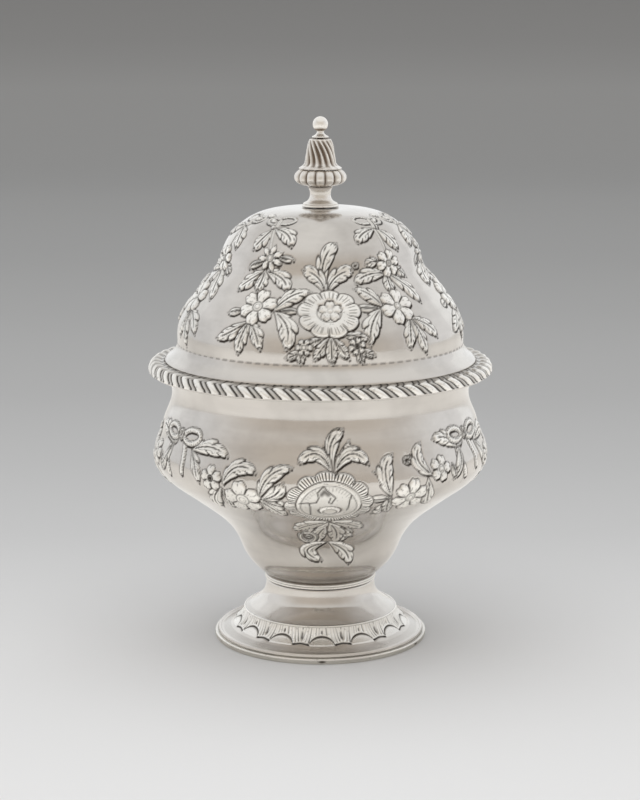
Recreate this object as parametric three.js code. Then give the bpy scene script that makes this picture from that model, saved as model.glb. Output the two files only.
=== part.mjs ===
import * as THREE from "three";

// A covered silver sugar bowl on a spreading foot, in millimetres with +Z up. The origin is the
// centre of the foot's underside, and the side with the middle flower spray faces -Y.
// Radii are from the upright axis. Heights are above the seat of the piece that they belong to.
// A lean is the direction that an outline travels in, in degrees from level.

// Fits, facets and curves
const seatGap = 0.3;
const bezelPlay = 0.45;
const roundSteps = 32;
const chasedSteps = 39;
const smallSteps = 16;
const curveSteps = 3;
const insideSteps = 2;
const handleShare = 0.37;
const upright = 90;

// Base wire, a plain ring under the edge of the foot
const baseWireRadius = 34.6;
const baseWireWidth = 2.8;
const baseWireHeight = 1.7;
const baseWireRound = 0.25;

// Foot, raised from sheet, from its edge bead up to the top of the stem
const footSheet = 0.9;
const footEdgeSetback = 0.8;
const footBeadSetback = 1.5;
const footBeadHeight = 0.5;
const footValleySetback = 2.3;
const footValleyHeight = 0.3;
const footValleyLean = 166;
const bandRadius = 27.8;
const bandHeight = 2.7;
const bandLean = 141;
const stepRadius = 24.7;
const stepHeight = 7.1;
const stepLean = 106;
const stepBead = 0.3;
const stemRootLean = 153;
const stemFlareRadius = 19.7;
const stemFlareHeight = 11;
const stemFlareLean = 136;
const stemRadius = 17.7;
const stemHeight = 17.2;

// Joint wire, a reeded ring between the stem and the bowl
const jointWireReach = 0.4;
const jointWireWidth = 2;
const jointWireHeight = 1.4;
const reedCount = 2;
const reedDepth = 0.35;
const reedCrest = 0.28;

// Bowl, raised from sheet, from its flat base up to the rim that carries the lid
const bowlSheet = 1;
const bowlBaseSetback = 0.3;
const bowlTurnWidth = 0.9;
const bowlTurnHeight = 0.5;
const bowlTurnLean = 37;
const bowlWaistRadius = 25.9;
const bowlWaistHeight = 10.3;
const bowlWaistLean = 70;
const flankRadius = 42.1;
const flankHeight = 27.3;
const flankLean = 37;
const bellyRadius = 53.6;
const bellyHeight = 40.7;
const shoulderRadius = 51;
const shoulderHeight = 49.8;
const shoulderLean = 97;
const neckRadius = 47.8;
const neckHeight = 60.7;
const rimFlare = 2.2;
const rimHeight = 68.4;
const rimLean = 80;
const bowlHeight = 70.2;

// Chased work. Each flower or cluster of leaves is a low mound on the outside of the sheet. It
// has its turn in degrees from the middle of its motif, its height above the seat and its reach.
const flowerRise = 0.9;
const leafRise = 0.65;
const moundFullness = 4;
const chaseTolerance = 0.1;
const bowlMotifTurns = [2.9, 122.9, 242.9];
const bowlMotif = [
  { turn: 0, height: 35.5, reach: 12, rise: flowerRise },
  { turn: 3, height: 51, reach: 9, rise: leafRise },
  { turn: -9, height: 23, reach: 8, rise: leafRise },
  { turn: 10, height: 23, reach: 8, rise: leafRise },
  { turn: 6, height: 12, reach: 6, rise: leafRise },
  { turn: -29, height: 35.5, reach: 8, rise: flowerRise },
  { turn: 29, height: 36, reach: 8, rise: flowerRise },
  { turn: -19, height: 38, reach: 8, rise: leafRise },
  { turn: 19, height: 38, reach: 8, rise: leafRise },
  { turn: -44, height: 43, reach: 9, rise: leafRise },
  { turn: 44, height: 44, reach: 9, rise: leafRise },
  { turn: -60, height: 50.5, reach: 9, rise: leafRise },
];

// Rope border, cast, round the outside of the rim
const borderDrop = 3.4;
const borderLipReach = 4.4;
const borderLipThickness = 0.5;
const ropeSetOut = 2.6;
const ropeRise = 1.4;
const ropeReach = 2.9;
const ropeHeight = 2.75;
const ropeStart = -15;
const ropeEnd = 125;
const ropePoints = 3;
const strandCount = 58;
const strandSteps = 3;
const strandSlant = 0.5;
const strandGroove = 0.17;

// Lid, raised from sheet, from the edge of its flange up to the crown
const lidSheet = 0.85;
const flangeThickness = 0.8;
const flangeSeatWidth = 0.7;
const flangeWidth = 4.1;
const flangeLean = 145;
const domeRootHeight = 5.9;
const domeRootLean = 95;
const domeWallHeight = 8.3;
const domeSlopeRadius = 37.5;
const domeSlopeHeight = 24.9;
const domeSlopeLean = 124;
const domeWaistRadius = 32.1;
const domeWaistHeight = 32.3;
const domeWaistLean = 101;
const domeShoulderRadius = 26.3;
const domeShoulderHeight = 43;
const domeShoulderLean = 137;
const crownRise = 5.9;
const crownLean = 180;
const roseTurns = [3.8, 123.8, 243.8];
const roseMotif = [
  { turn: 0, height: 20.7, reach: 11, rise: flowerRise },
  { turn: 0, height: 11, reach: 10, rise: leafRise },
  { turn: -12, height: 9, reach: 6, rise: leafRise },
  { turn: 12, height: 9, reach: 6, rise: leafRise },
  { turn: 1, height: 32.5, reach: 9, rise: leafRise },
];
const dropTurns = [-29, 37, 82, 162, 206, 285.5];
const dropMotif = [
  { turn: 0, height: 22, reach: 8, rise: flowerRise },
  { turn: 0, height: 12, reach: 9, rise: leafRise },
  { turn: 0, height: 28.5, reach: 9, rise: leafRise },
  { turn: 0, height: 35.7, reach: 7, rise: leafRise },
  { turn: 0, height: 41, reach: 8, rise: leafRise },
];

// Bezel, a plain ring inside the lid that drops into the neck of the bowl
const bezelThickness = 0.8;
const bezelDepth = 6;

// Finial, four castings threaded on a stud that a nut holds inside the lid
const studRadius = 1.5;
const studTail = 0.6;
const studReach = 15;
const washerRadius = 4.6;
const washerThickness = 0.6;
const nutWidth = 6.4;
const nutThickness = 2.2;

// Pedestal under the finial
const pedestalBaseRadius = 6;
const pedestalBaseHeight = 0.6;
const pedestalStepRadius = 5.5;
const pedestalStepHeight = 1.1;
const pedestalNeckRadius = 4.2;
const pedestalNeckHeight = 1.7;
const pedestalNeckLean = 140;
const pedestalWaistRadius = 3.3;
const pedestalWaistHeight = 3.9;
const pedestalTopRadius = 4;
const pedestalHeight = 6.2;
const pedestalTopLean = 55;

// Lobed belt
const beltRadius = 8.35;
const beltHeight = 5.1;
const beltWidestHeight = 2.6;
const beltFootRadius = 4.4;
const beltFootLean = 12;
const beltTopRadius = 6.6;
const beltTopLean = 150;
const lobeCount = 15;
const lobeSteps = 4;
const lobeGroove = 0.7;

// Fluted bell above the belt
const bellLipRadius = 6.8;
const bellLipHeight = 0.3;
const bellLipLean = 150;
const bellWallRadius = 5;
const bellWallHeight = 2.1;
const bellWallLean = 98;
const bellShoulderRadius = 4.1;
const bellShoulderHeight = 7.7;
const bellShoulderLean = 104;
const bellTopRadius = 2.9;
const bellHeight = 9.5;
const bellTopLean = 165;
const fluteCount = 14;
const fluteSteps = 3;
const fluteDepth = 0.75;
const fluteStart = 1.2;
const fluteEnd = 9.1;
const fluteTwist = 47;

// Ball on its collar and neck, with a pin into the bell
const ballRadius = 2.6;
const ballRise = 4.3;
const ballCollarRadius = 2.7;
const ballCollarHeight = 0.4;
const ballNeckRadius = 1.15;
const ballNeckHeight = 1.8;
const pinRadius = 0.8;
const pinLength = 2.2;

// Radii and heights that follow from what each one meets
const jointWireRadius = stemRadius + jointWireReach;
const bowlBaseRadius = stemRadius - bowlBaseSetback;
const rimRadius = neckRadius + rimFlare;
const borderInnerRadius = rimRadius + seatGap;
const domeRootRadius = rimRadius - flangeWidth;
const crownHeight = domeShoulderHeight + crownRise;
const boreRadius = studRadius + seatGap;

// Seats, from the table up
const footSeat = baseWireHeight + seatGap;
const jointWireSeat = footSeat + stemHeight + seatGap;
const bowlSeat = jointWireSeat + jointWireHeight + seatGap;
const lidSeat = bowlSeat + bowlHeight + seatGap;
const borderBottom = bowlHeight - borderDrop;
const pedestalSeat = crownHeight + seatGap;
const beltSeat = pedestalSeat + pedestalHeight + seatGap;
const bellSeat = beltSeat + beltHeight + seatGap;
const ballSeat = bellSeat + bellHeight + seatGap;

const place = (radius, height) => new THREE.Vector2(radius, height);
const direction = (lean) => {
  const turn = THREE.MathUtils.degToRad(lean);
  return place(Math.cos(turn), Math.sin(turn));
};

// A smooth outline through stations of radius, height and lean.
function flow(stations, steps = curveSteps) {
  const path = new THREE.CurvePath();
  for (let i = 1; i < stations.length; i += 1) {
    const [startRadius, startHeight, startLean] = stations[i - 1];
    const [endRadius, endHeight, endLean] = stations[i];
    const start = place(startRadius, startHeight);
    const end = place(endRadius, endHeight);
    const handle = start.distanceTo(end) * handleShare;
    const leave = start.clone().addScaledVector(direction(startLean), handle);
    const arrive = end.clone().addScaledVector(direction(endLean), -handle);
    path.add(new THREE.CubicBezierCurve(start, leave, arrive, end));
  }
  return path.getPoints(steps);
}

// The same outline moved sideways by a sheet's thickness, to the left of its travel.
function inset(outline, thickness) {
  return outline.map((point, i) => {
    const before = outline[Math.max(i - 1, 0)];
    const after = outline[Math.min(i + 1, outline.length - 1)];
    const travel = after.clone().sub(before).normalize();
    return place(point.x - travel.y * thickness, point.y + travel.x * thickness);
  });
}

// Part of an ellipse, between two angles in degrees.
function arc(centre, reach, rise, start, end, count) {
  const ellipse = new THREE.EllipseCurve(
    centre.x, centre.y, reach, rise,
    THREE.MathUtils.degToRad(start), THREE.MathUtils.degToRad(end),
    end < start,
  );
  return ellipse.getPoints(count);
}

// Height of an outline where it crosses a radius.
function heightAt(outline, radius) {
  for (let i = 1; i < outline.length; i += 1) {
    const [a, b] = [outline[i - 1], outline[i]];
    if ((a.x - radius) * (b.x - radius) <= 0) {
      return THREE.MathUtils.mapLinear(radius, a.x, b.x, a.y, b.y);
    }
  }
  return outline[outline.length - 1].y;
}

// A solid of revolution, whose first facet starts at a turn in degrees from the front. A ring's
// outline is closed on itself, a solid one ends on the axis.
function turned(outline, steps, start = 0) {
  const geometry = new THREE.LatheGeometry(outline, steps, THREE.MathUtils.degToRad(start));
  geometry.rotateX(Math.PI / 2);
  return geometry;
}

function turnedRing(outline, steps, start) {
  return turned([...outline, outline[0]], steps, start);
}

// Moves each point of a turned solid within its own radial plane.
function carve(geometry, rule) {
  const points = geometry.attributes.position;
  for (let i = 0; i < points.count; i += 1) {
    const angle = Math.atan2(points.getY(i), points.getX(i));
    const radius = Math.hypot(points.getX(i), points.getY(i));
    const moved = rule(angle, place(radius, points.getZ(i)));
    points.setXYZ(i, moved.x * Math.cos(angle), moved.x * Math.sin(angle), moved.y);
  }
  return geometry;
}

// Zero on a ridge and one at the bottom of a groove, once in each turn of the phase.
const groove = (phase) => (1 - Math.cos(2 * Math.PI * phase)) / 2;

// The same motif set at several turns round the axis.
function setRound(turns, motif) {
  return turns.flatMap((turn) => motif.map((mound) => ({ ...mound, turn: mound.turn + turn })));
}

// Raises mounds on the outside of a turned shell, the highest one where several meet.
function chase(shell, outside, mounds) {
  const isOutside = (point) => outside.some((other) => other.distanceTo(point) < chaseTolerance);
  return carve(shell, (angle, point) => {
    if (!isOutside(point)) {
      return point;
    }
    const rises = mounds.map(({ turn, height, reach, rise }) => {
      const front = angle + Math.PI / 2 - THREE.MathUtils.degToRad(turn);
      const along = Math.atan2(Math.sin(front), Math.cos(front)) * point.x;
      const away = Math.hypot(along, point.y - height) / reach;
      return rise * Math.max(1 - away ** moundFullness, 0);
    });
    return place(point.x + Math.max(...rises), point.y);
  });
}

function silver(name, geometry, color, roughness) {
  const material = new THREE.MeshStandardMaterial({ color, roughness, metalness: 1 });
  const mesh = new THREE.Mesh(geometry, material);
  mesh.name = name;
  return mesh;
}

function baseWire() {
  const inner = baseWireRadius - baseWireWidth;
  return turnedRing([
    place(inner, 0),
    place(baseWireRadius - baseWireRound, 0),
    place(baseWireRadius, baseWireRound),
    place(baseWireRadius, baseWireHeight - baseWireRound),
    place(baseWireRadius - baseWireRound, baseWireHeight),
    place(inner, baseWireHeight),
  ], roundSteps);
}

function footShell() {
  const edge = baseWireRadius - footEdgeSetback;
  const valley = [baseWireRadius - footValleySetback, footValleyHeight, footValleyLean];
  const band = [bandRadius, bandHeight, bandLean];
  const flare = [stemFlareRadius, stemFlareHeight, stemFlareLean];
  const top = [stemRadius, stemHeight, upright];
  const slope = flow([valley, band, [stepRadius, stepHeight, stepLean]]);
  const stem = flow([[stepRadius, stepHeight + stepBead, stemRootLean], flare, top]);
  const smoothStep = [stepRadius, stepHeight + stepBead, (stepLean + stemRootLean) / 2];
  const inside = inset(flow([valley, band, smoothStep, flare, top]), footSheet);
  const insideEdge = inside.filter((point) => point.y > 0);
  return turnedRing([
    place(edge, 0),
    place(baseWireRadius - footBeadSetback, footBeadHeight),
    ...slope,
    place(stepRadius + stepBead, stepHeight + stepBead / 2),
    ...stem,
    ...insideEdge.reverse(),
    place(insideEdge[insideEdge.length - 1].x + footSheet, 0),
  ], roundSteps);
}

function jointWire() {
  const inner = jointWireRadius - jointWireWidth;
  const reedHeight = jointWireHeight / reedCount;
  const face = [place(jointWireRadius - reedDepth, 0)];
  for (let i = 0; i < reedCount; i += 1) {
    const middle = (i + 0.5) * reedHeight;
    face.push(place(jointWireRadius, middle - reedCrest / 2));
    face.push(place(jointWireRadius, middle + reedCrest / 2));
    face.push(place(jointWireRadius - reedDepth, (i + 1) * reedHeight));
  }
  return turnedRing([place(inner, 0), ...face, place(inner, jointWireHeight)], roundSteps);
}

function bowlShell() {
  const stations = [
    [bowlBaseRadius + bowlTurnWidth, bowlTurnHeight, bowlTurnLean],
    [bowlWaistRadius, bowlWaistHeight, bowlWaistLean],
    [flankRadius, flankHeight, flankLean],
    [bellyRadius, bellyHeight, upright],
    [shoulderRadius, shoulderHeight, shoulderLean],
    [neckRadius, neckHeight, upright],
    [rimRadius, rimHeight, rimLean],
  ];
  const wall = flow(stations);
  const inside = inset(flow(stations, insideSteps), bowlSheet);
  const rimInside = inside[inside.length - 1].x;
  const shell = turned([
    place(0, 0),
    place(bowlBaseRadius, 0),
    ...wall,
    place(rimRadius, bowlHeight),
    place(rimInside, bowlHeight),
    ...inside.reverse(),
    place(bowlBaseRadius - bowlSheet / 2, bowlSheet),
    place(0, bowlSheet),
  ], chasedSteps, bowlMotifTurns[0]);
  return chase(shell, wall, setRound(bowlMotifTurns, bowlMotif));
}

function ropeBorder() {
  const centre = place(rimRadius + ropeSetOut, borderBottom + ropeRise);
  const rope = arc(centre, ropeReach, ropeHeight, ropeStart, ropeEnd, ropePoints);
  const lipRadius = rimRadius + borderLipReach;
  const lipTop = borderBottom + borderLipThickness;
  const strip = turnedRing([
    place(borderInnerRadius, borderBottom),
    place(lipRadius, borderBottom),
    place(lipRadius, lipTop),
    ...rope,
    place(borderInnerRadius, rope[rope.length - 1].y),
  ], strandCount * strandSteps);
  const isRope = (point) => rope.some((other) => other.distanceTo(point) < strandGroove);
  return carve(strip, (angle, point) => {
    if (!isRope(point)) {
      return point;
    }
    const offset = point.clone().sub(centre);
    const down = (ropeEnd - THREE.MathUtils.radToDeg(offset.angle() % (2 * Math.PI))) % 360;
    const travelled = (down + 360) % 360 / (ropeEnd - ropeStart);
    const phase = strandCount * angle / (2 * Math.PI) - strandSlant * travelled;
    return centre.clone().addScaledVector(offset, 1 - strandGroove * groove(phase));
  });
}

// The outside of the lid, from the flange's edge up to a radius on the crown.
function lidOutline(crownRadius, steps) {
  const outline = flow([
    [rimRadius, flangeThickness, flangeLean],
    [domeRootRadius, domeRootHeight, domeRootLean],
    [domeRootRadius, domeWallHeight, upright],
    [domeSlopeRadius, domeSlopeHeight, domeSlopeLean],
    [domeWaistRadius, domeWaistHeight, domeWaistLean],
    [domeShoulderRadius, domeShoulderHeight, domeShoulderLean],
    [0, crownHeight, crownLean],
  ], steps);
  return [...outline.slice(0, -1), place(crownRadius, crownHeight)];
}

function lidInside() {
  return inset(lidOutline(boreRadius, insideSteps), lidSheet).slice(1);
}

function lidDome() {
  const outside = lidOutline(boreRadius, curveSteps);
  const shell = turnedRing([
    place(rimRadius - flangeSeatWidth, 0),
    place(rimRadius, 0),
    ...outside,
    place(boreRadius, crownHeight - lidSheet),
    ...lidInside().slice(0, -1).reverse(),
  ], chasedSteps, roseTurns[0]);
  const mounds = [...setRound(roseTurns, roseMotif), ...setRound(dropTurns, dropMotif)];
  return chase(shell, outside, mounds);
}

function lidBezel() {
  const outer = neckRadius - bowlSheet - bezelPlay;
  const inner = outer - bezelThickness;
  const bottom = -seatGap - bezelDepth;
  const underside = lidInside();
  return turnedRing([
    place(inner, bottom),
    place(outer, bottom),
    place(outer, heightAt(underside, outer) - seatGap),
    place(inner, heightAt(underside, outer) - seatGap),
  ], roundSteps);
}

function finialPedestal() {
  const waist = flow([
    [pedestalNeckRadius, pedestalNeckHeight, pedestalNeckLean],
    [pedestalWaistRadius, pedestalWaistHeight, upright],
    [pedestalTopRadius, pedestalHeight, pedestalTopLean],
  ]);
  return turnedRing([
    place(boreRadius, 0),
    place(pedestalBaseRadius, 0),
    place(pedestalBaseRadius, pedestalBaseHeight),
    place(pedestalStepRadius, pedestalBaseHeight),
    place(pedestalStepRadius, pedestalStepHeight),
    ...waist,
    place(boreRadius, pedestalHeight),
  ], smallSteps);
}

function finialBelt() {
  const side = flow([
    [beltFootRadius, 0, beltFootLean],
    [beltRadius, beltWidestHeight, upright],
    [beltTopRadius, beltHeight, beltTopLean],
  ]);
  const belt = turnedRing([
    place(boreRadius, 0),
    ...side,
    place(boreRadius, beltHeight),
  ], lobeCount * lobeSteps);
  return carve(belt, (angle, point) => {
    const out = Math.max(point.x - beltFootRadius, 0) / (beltRadius - beltFootRadius);
    const phase = lobeCount * (angle + Math.PI / 2) / (2 * Math.PI);
    return place(point.x - lobeGroove * out * groove(phase), point.y);
  });
}

function finialBell() {
  const side = flow([
    [bellLipRadius, bellLipHeight, bellLipLean],
    [bellWallRadius, bellWallHeight, bellWallLean],
    [bellShoulderRadius, bellShoulderHeight, bellShoulderLean],
    [bellTopRadius, bellHeight, bellTopLean],
  ]);
  const socketRadius = pinRadius + seatGap;
  const socketFloor = bellHeight - pinLength - seatGap;
  const boreTop = studReach + seatGap - (bellSeat - pedestalSeat);
  const bell = turnedRing([
    place(boreRadius, 0),
    place(bellLipRadius, 0),
    ...side,
    place(socketRadius, bellHeight),
    place(socketRadius, Math.max(socketFloor, boreTop)),
    place(boreRadius, boreTop),
  ], fluteCount * fluteSteps);
  return carve(bell, (angle, point) => {
    const along = THREE.MathUtils.clamp((point.y - fluteStart) / (fluteEnd - fluteStart), 0, 1);
    if (point.x < boreRadius + seatGap || along === 0 || along === 1) {
      return point;
    }
    const twist = THREE.MathUtils.degToRad(fluteTwist) * along;
    const phase = fluteCount * (angle + twist) / (2 * Math.PI);
    const depth = fluteDepth * Math.sqrt(Math.sin(Math.PI * along));
    return place(point.x - depth * groove(phase), point.y);
  });
}

function finialBall() {
  const centre = place(0, ballRise);
  const neckAngle = -THREE.MathUtils.radToDeg(Math.acos(ballNeckRadius / ballRadius));
  return turned([
    place(0, -pinLength - seatGap),
    place(pinRadius, -pinLength - seatGap),
    place(pinRadius, 0),
    place(ballCollarRadius, 0),
    place(ballCollarRadius, ballCollarHeight),
    place(ballNeckRadius, ballNeckHeight),
    ...arc(centre, ballRadius, ballRadius, neckAngle, upright, 2 * curveSteps),
  ], smallSteps);
}

function finialStud() {
  const bottom = -seatGap - lidSheet - seatGap - washerThickness - seatGap - nutThickness - studTail;
  return turned([
    place(0, bottom),
    place(studRadius, bottom),
    place(studRadius, studReach),
    place(0, studReach),
  ], smallSteps);
}

function finialWasher() {
  return turnedRing([
    place(boreRadius, 0),
    place(washerRadius, 0),
    place(washerRadius, washerThickness),
    place(boreRadius, washerThickness),
  ], smallSteps);
}

function finialNut() {
  const half = nutWidth / 2;
  const outline = new THREE.Shape([
    place(-half, -half),
    place(half, -half),
    place(half, half),
    place(-half, half),
  ]);
  const bore = new THREE.Path();
  bore.absarc(0, 0, boreRadius, 0, 2 * Math.PI, true);
  outline.holes.push(bore);
  return new THREE.ExtrudeGeometry(outline, {
    depth: nutThickness, bevelEnabled: false, curveSegments: smallSteps,
  });
}

function raised(mesh, height) {
  mesh.position.z = height;
  return mesh;
}

const foot = new THREE.Group();
foot.add(
  silver("foot_base_wire", baseWire(), 0xc4bdb4, 0.3),
  raised(silver("foot_shell", footShell(), 0xd2ccc4, 0.22), footSeat),
  raised(silver("joint_wire", jointWire(), 0xb9afa6, 0.3), jointWireSeat),
);

const bowl = new THREE.Group();
bowl.position.z = bowlSeat;
bowl.add(
  silver("bowl_shell", bowlShell(), 0xd6d0c8, 0.2),
  silver("rim_border", ropeBorder(), 0xcbc3b8, 0.28),
);

const finial = new THREE.Group();
finial.add(
  raised(silver("finial_pedestal", finialPedestal(), 0xd8d2ca, 0.25), pedestalSeat),
  raised(silver("finial_belt", finialBelt(), 0xd4cdc3, 0.25), beltSeat),
  raised(silver("finial_bell", finialBell(), 0xc8beb2, 0.3), bellSeat),
  raised(silver("finial_ball", finialBall(), 0xdcd6cd, 0.22), ballSeat),
  raised(silver("finial_stud", finialStud(), 0xb8b2aa, 0.4), pedestalSeat),
);
const washerSeat = crownHeight - lidSheet - seatGap - washerThickness;
const nutSeat = washerSeat - seatGap - nutThickness;
finial.add(
  raised(silver("finial_washer", finialWasher(), 0xb8b2aa, 0.4), washerSeat),
  raised(silver("finial_nut", finialNut(), 0xb8b2aa, 0.4), nutSeat),
);

const lid = new THREE.Group();
lid.position.z = lidSeat;
lid.add(
  silver("lid_dome", lidDome(), 0xd6d0c8, 0.2),
  silver("lid_bezel", lidBezel(), 0xc4bdb4, 0.3),
  finial,
);

const sugarBowl = new THREE.Group();
sugarBowl.add(foot, bowl, lid);

export default sugarBowl;
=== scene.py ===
import math
import bpy
import numpy as np
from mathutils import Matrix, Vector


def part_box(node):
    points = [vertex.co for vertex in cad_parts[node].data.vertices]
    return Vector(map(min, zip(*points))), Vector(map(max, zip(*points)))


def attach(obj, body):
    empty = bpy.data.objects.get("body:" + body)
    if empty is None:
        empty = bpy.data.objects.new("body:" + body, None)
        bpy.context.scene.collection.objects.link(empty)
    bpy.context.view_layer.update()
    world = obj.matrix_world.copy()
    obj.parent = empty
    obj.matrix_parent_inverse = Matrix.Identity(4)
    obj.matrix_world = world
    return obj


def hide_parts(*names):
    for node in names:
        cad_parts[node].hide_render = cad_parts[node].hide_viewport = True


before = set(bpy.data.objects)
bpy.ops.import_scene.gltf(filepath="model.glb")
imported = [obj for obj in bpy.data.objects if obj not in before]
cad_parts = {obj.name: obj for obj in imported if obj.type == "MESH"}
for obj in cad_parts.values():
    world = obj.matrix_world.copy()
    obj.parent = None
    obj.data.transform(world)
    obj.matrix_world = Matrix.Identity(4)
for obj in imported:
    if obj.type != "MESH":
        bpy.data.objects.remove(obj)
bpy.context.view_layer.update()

# Camera. A long lens a little above the lid looks down at the bowl, as in the photograph.
# The picture is 640 by 800, so the sensor's long side is the picture's height.
CAMERA_PLACE = (-0.00011, -0.6562, 0.2067)
CAMERA_PITCH = 11.09
CAMERA_LENS = 92.94
CAMERA_SENSOR = 36

camera_data = bpy.data.cameras.new("camera")
camera_data.lens = CAMERA_LENS
camera_data.sensor_width = CAMERA_SENSOR
camera_data.clip_start = 0.02
camera = bpy.data.objects.new("camera", camera_data)
camera.location = CAMERA_PLACE
camera.rotation_euler = (math.radians(90 - CAMERA_PITCH), 0, 0)
bpy.context.scene.collection.objects.link(camera)
bpy.context.scene.camera = camera
bpy.context.scene.view_settings.view_transform = "Standard"

# Floor and backdrop. One sheet of matt paper lies under the bowl and sweeps up far behind it.
# It is pale where the bowl stands and falls off to grey along its length: painted shade in its colour.
PAPER_HALF_WIDTH = 3.0
PAPER_FRONT = -1.6
PAPER_BEND = 1.7
PAPER_BEND_RADIUS = 0.9
PAPER_TOP = 1.8
PAPER_STOPS = (
    (0.0, (0.76, 0.765, 0.775)),
    (0.305, (0.755, 0.76, 0.77)),
    (0.33, (0.70, 0.705, 0.715)),
    (0.345, (0.62, 0.625, 0.634)),
    (0.36, (0.54, 0.545, 0.553)),
    (0.385, (0.472, 0.477, 0.484)),
    (0.42, (0.412, 0.416, 0.422)),
    (0.48, (0.370, 0.374, 0.379)),
    (0.55, (0.345, 0.349, 0.354)),
    (0.64, (0.348, 0.352, 0.357)),
    (0.785, (0.331, 0.335, 0.340)),
    (0.82, (0.284, 0.287, 0.291)),
    (0.86, (0.260, 0.263, 0.267)),
    (0.91, (0.240, 0.243, 0.247)),
    (1.0, (0.205, 0.207, 0.210)),
)
FLOOR_GLOW = (0.96, 0.95, 0.93, 1)
WALL_GLOW = (1.06, 1.08, 1.09, 1)
WALL_START = 0.42
WALL_END = 0.85
PAPER_BEND_STEPS = 12
SHADED_WALL = 0.6


class Wire:
    """A socket in a node tree that adds its own Math nodes under Python's arithmetic."""

    def __init__(self, tree, socket=None):
        self.tree = tree
        self.socket = socket

    def node(self, kind, settings=(), inputs=(), output=0):
        made = self.tree.nodes.new(kind)
        for name, value in dict(settings).items():
            if name == "stops":
                ramp = made.color_ramp
                while len(ramp.elements) < len(value):
                    ramp.elements.new(1)
                for element, (position, colour) in zip(ramp.elements, value):
                    element.position = position
                    element.color = (*colour, 1)
            else:
                setattr(made, name, value)
        for name, value in dict(inputs).items():
            if isinstance(value, Wire):
                self.tree.links.new(value.socket, made.inputs[name])
            else:
                made.inputs[name].default_value = value
        return Wire(self.tree, made.outputs[output] if len(made.outputs) else None)

    def math(self, operation, *values):
        return self.node("ShaderNodeMath", {"operation": operation}, dict(enumerate(values)))

    def __add__(self, other):
        return self.math("ADD", self, other)

    def __sub__(self, other):
        return self.math("SUBTRACT", self, other)

    def __rsub__(self, other):
        return self.math("SUBTRACT", other, self)

    def __mul__(self, other):
        return self.math("MULTIPLY", self, other)

    __radd__ = __add__
    __rmul__ = __mul__

    def blend(self, low, high):
        """The colour low where this value is 0, and high where it is 1."""
        return self.node("ShaderNodeMix", {"data_type": "RGBA"},
                         {"Factor": self, 6: low, 7: high}, output=2)


def new_material(name):
    material = bpy.data.materials.new(name)
    material.use_nodes = True
    material.node_tree.nodes.clear()
    return material, Wire(material.node_tree)


paper_path = [(PAPER_FRONT, 0.0), (-0.4, 0.0), (0.0, 0.0), (0.4, 0.0), (1.0, 0.0)]
for step in range(PAPER_BEND_STEPS + 1):
    turn = math.radians(90 * step / PAPER_BEND_STEPS)
    paper_path.append((PAPER_BEND + PAPER_BEND_RADIUS * math.sin(turn),
                       PAPER_BEND_RADIUS * (1 - math.cos(turn))))
paper_path.append((PAPER_BEND + PAPER_BEND_RADIUS, PAPER_TOP))
paper_points = [(side * PAPER_HALF_WIDTH, y, z) for y, z in paper_path for side in (-1, 1)]
paper_faces = [(2 * i, 2 * i + 1, 2 * i + 3, 2 * i + 2) for i in range(len(paper_path) - 1)]
paper_mesh = bpy.data.meshes.new("paper")
paper_mesh.from_pydata(paper_points, [], paper_faces)
paper_mesh.polygons.foreach_set("use_smooth", [True] * len(paper_faces))
paper = bpy.data.objects.new("paper", paper_mesh)
bpy.context.scene.collection.objects.link(paper)

paper_finish, wire = new_material("studio_paper")
split = wire.node("ShaderNodeSeparateXYZ", (), {
    "Vector": wire.node("ShaderNodeTexCoord", output="Object")}, output="Y")
height = Wire(wire.tree, split.socket.node.outputs["Z"])
# Painted shade: the paper's colour darkens by these stops along its run, in place of light falling
# off.
shaded_run = PAPER_BEND + PAPER_BEND_RADIUS - PAPER_FRONT + SHADED_WALL
along = (split + height - PAPER_FRONT) * (1 / shaded_run)
shade = wire.node("ShaderNodeValToRGB", {"stops": PAPER_STOPS}, {"Fac": along})
# Painted reflection: in the silver the floor shows a brighter colour and the upright backdrop glows,
# though it is no lamp.
mirrored = wire.node("ShaderNodeLightPath", output="Is Glossy Ray")
wall = wire.node("ShaderNodeMapRange", {"interpolation_type": "SMOOTHSTEP"}, {
    "Value": along, "From Min": WALL_START, "From Max": WALL_END})
glow = (wall * mirrored).blend((0, 0, 0, 1), WALL_GLOW)
shade = mirrored.blend(shade, wall.blend(FLOOR_GLOW, (0, 0, 0, 1)))
matt = wire.node("ShaderNodeBsdfPrincipled", (), {
    "Base Color": shade, "Roughness": 0.9, "Specular IOR Level": 0.2, "Emission Color": glow,
    "Emission Strength": 1.0})
wire.node("ShaderNodeOutputMaterial", (), {"Surface": matt})
paper_mesh.materials.append(paper_finish)

# Studio light. A pale tent surrounds the table. It is dimmest and warmest where the camera
# looks in, brighter towards the back, and brightest overhead under a large soft lamp.
# The lamp is kept out of the silver's reflections, which show the tent alone.
TENT_FRONT = (0.66, 0.61, 0.55, 1)
TENT_BACK = (0.93, 0.94, 0.955, 1)
TENT_TOP = (0.90, 0.895, 0.88, 1)
TENT_TURN = (-0.92, 0.3)
TENT_RISE = (0.35, 0.95)
LAMP_PLACE = (-0.15, 0.1, 1.3)
LAMP_SIZE = 1.6
LAMP_WATTS = 6.0

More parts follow.
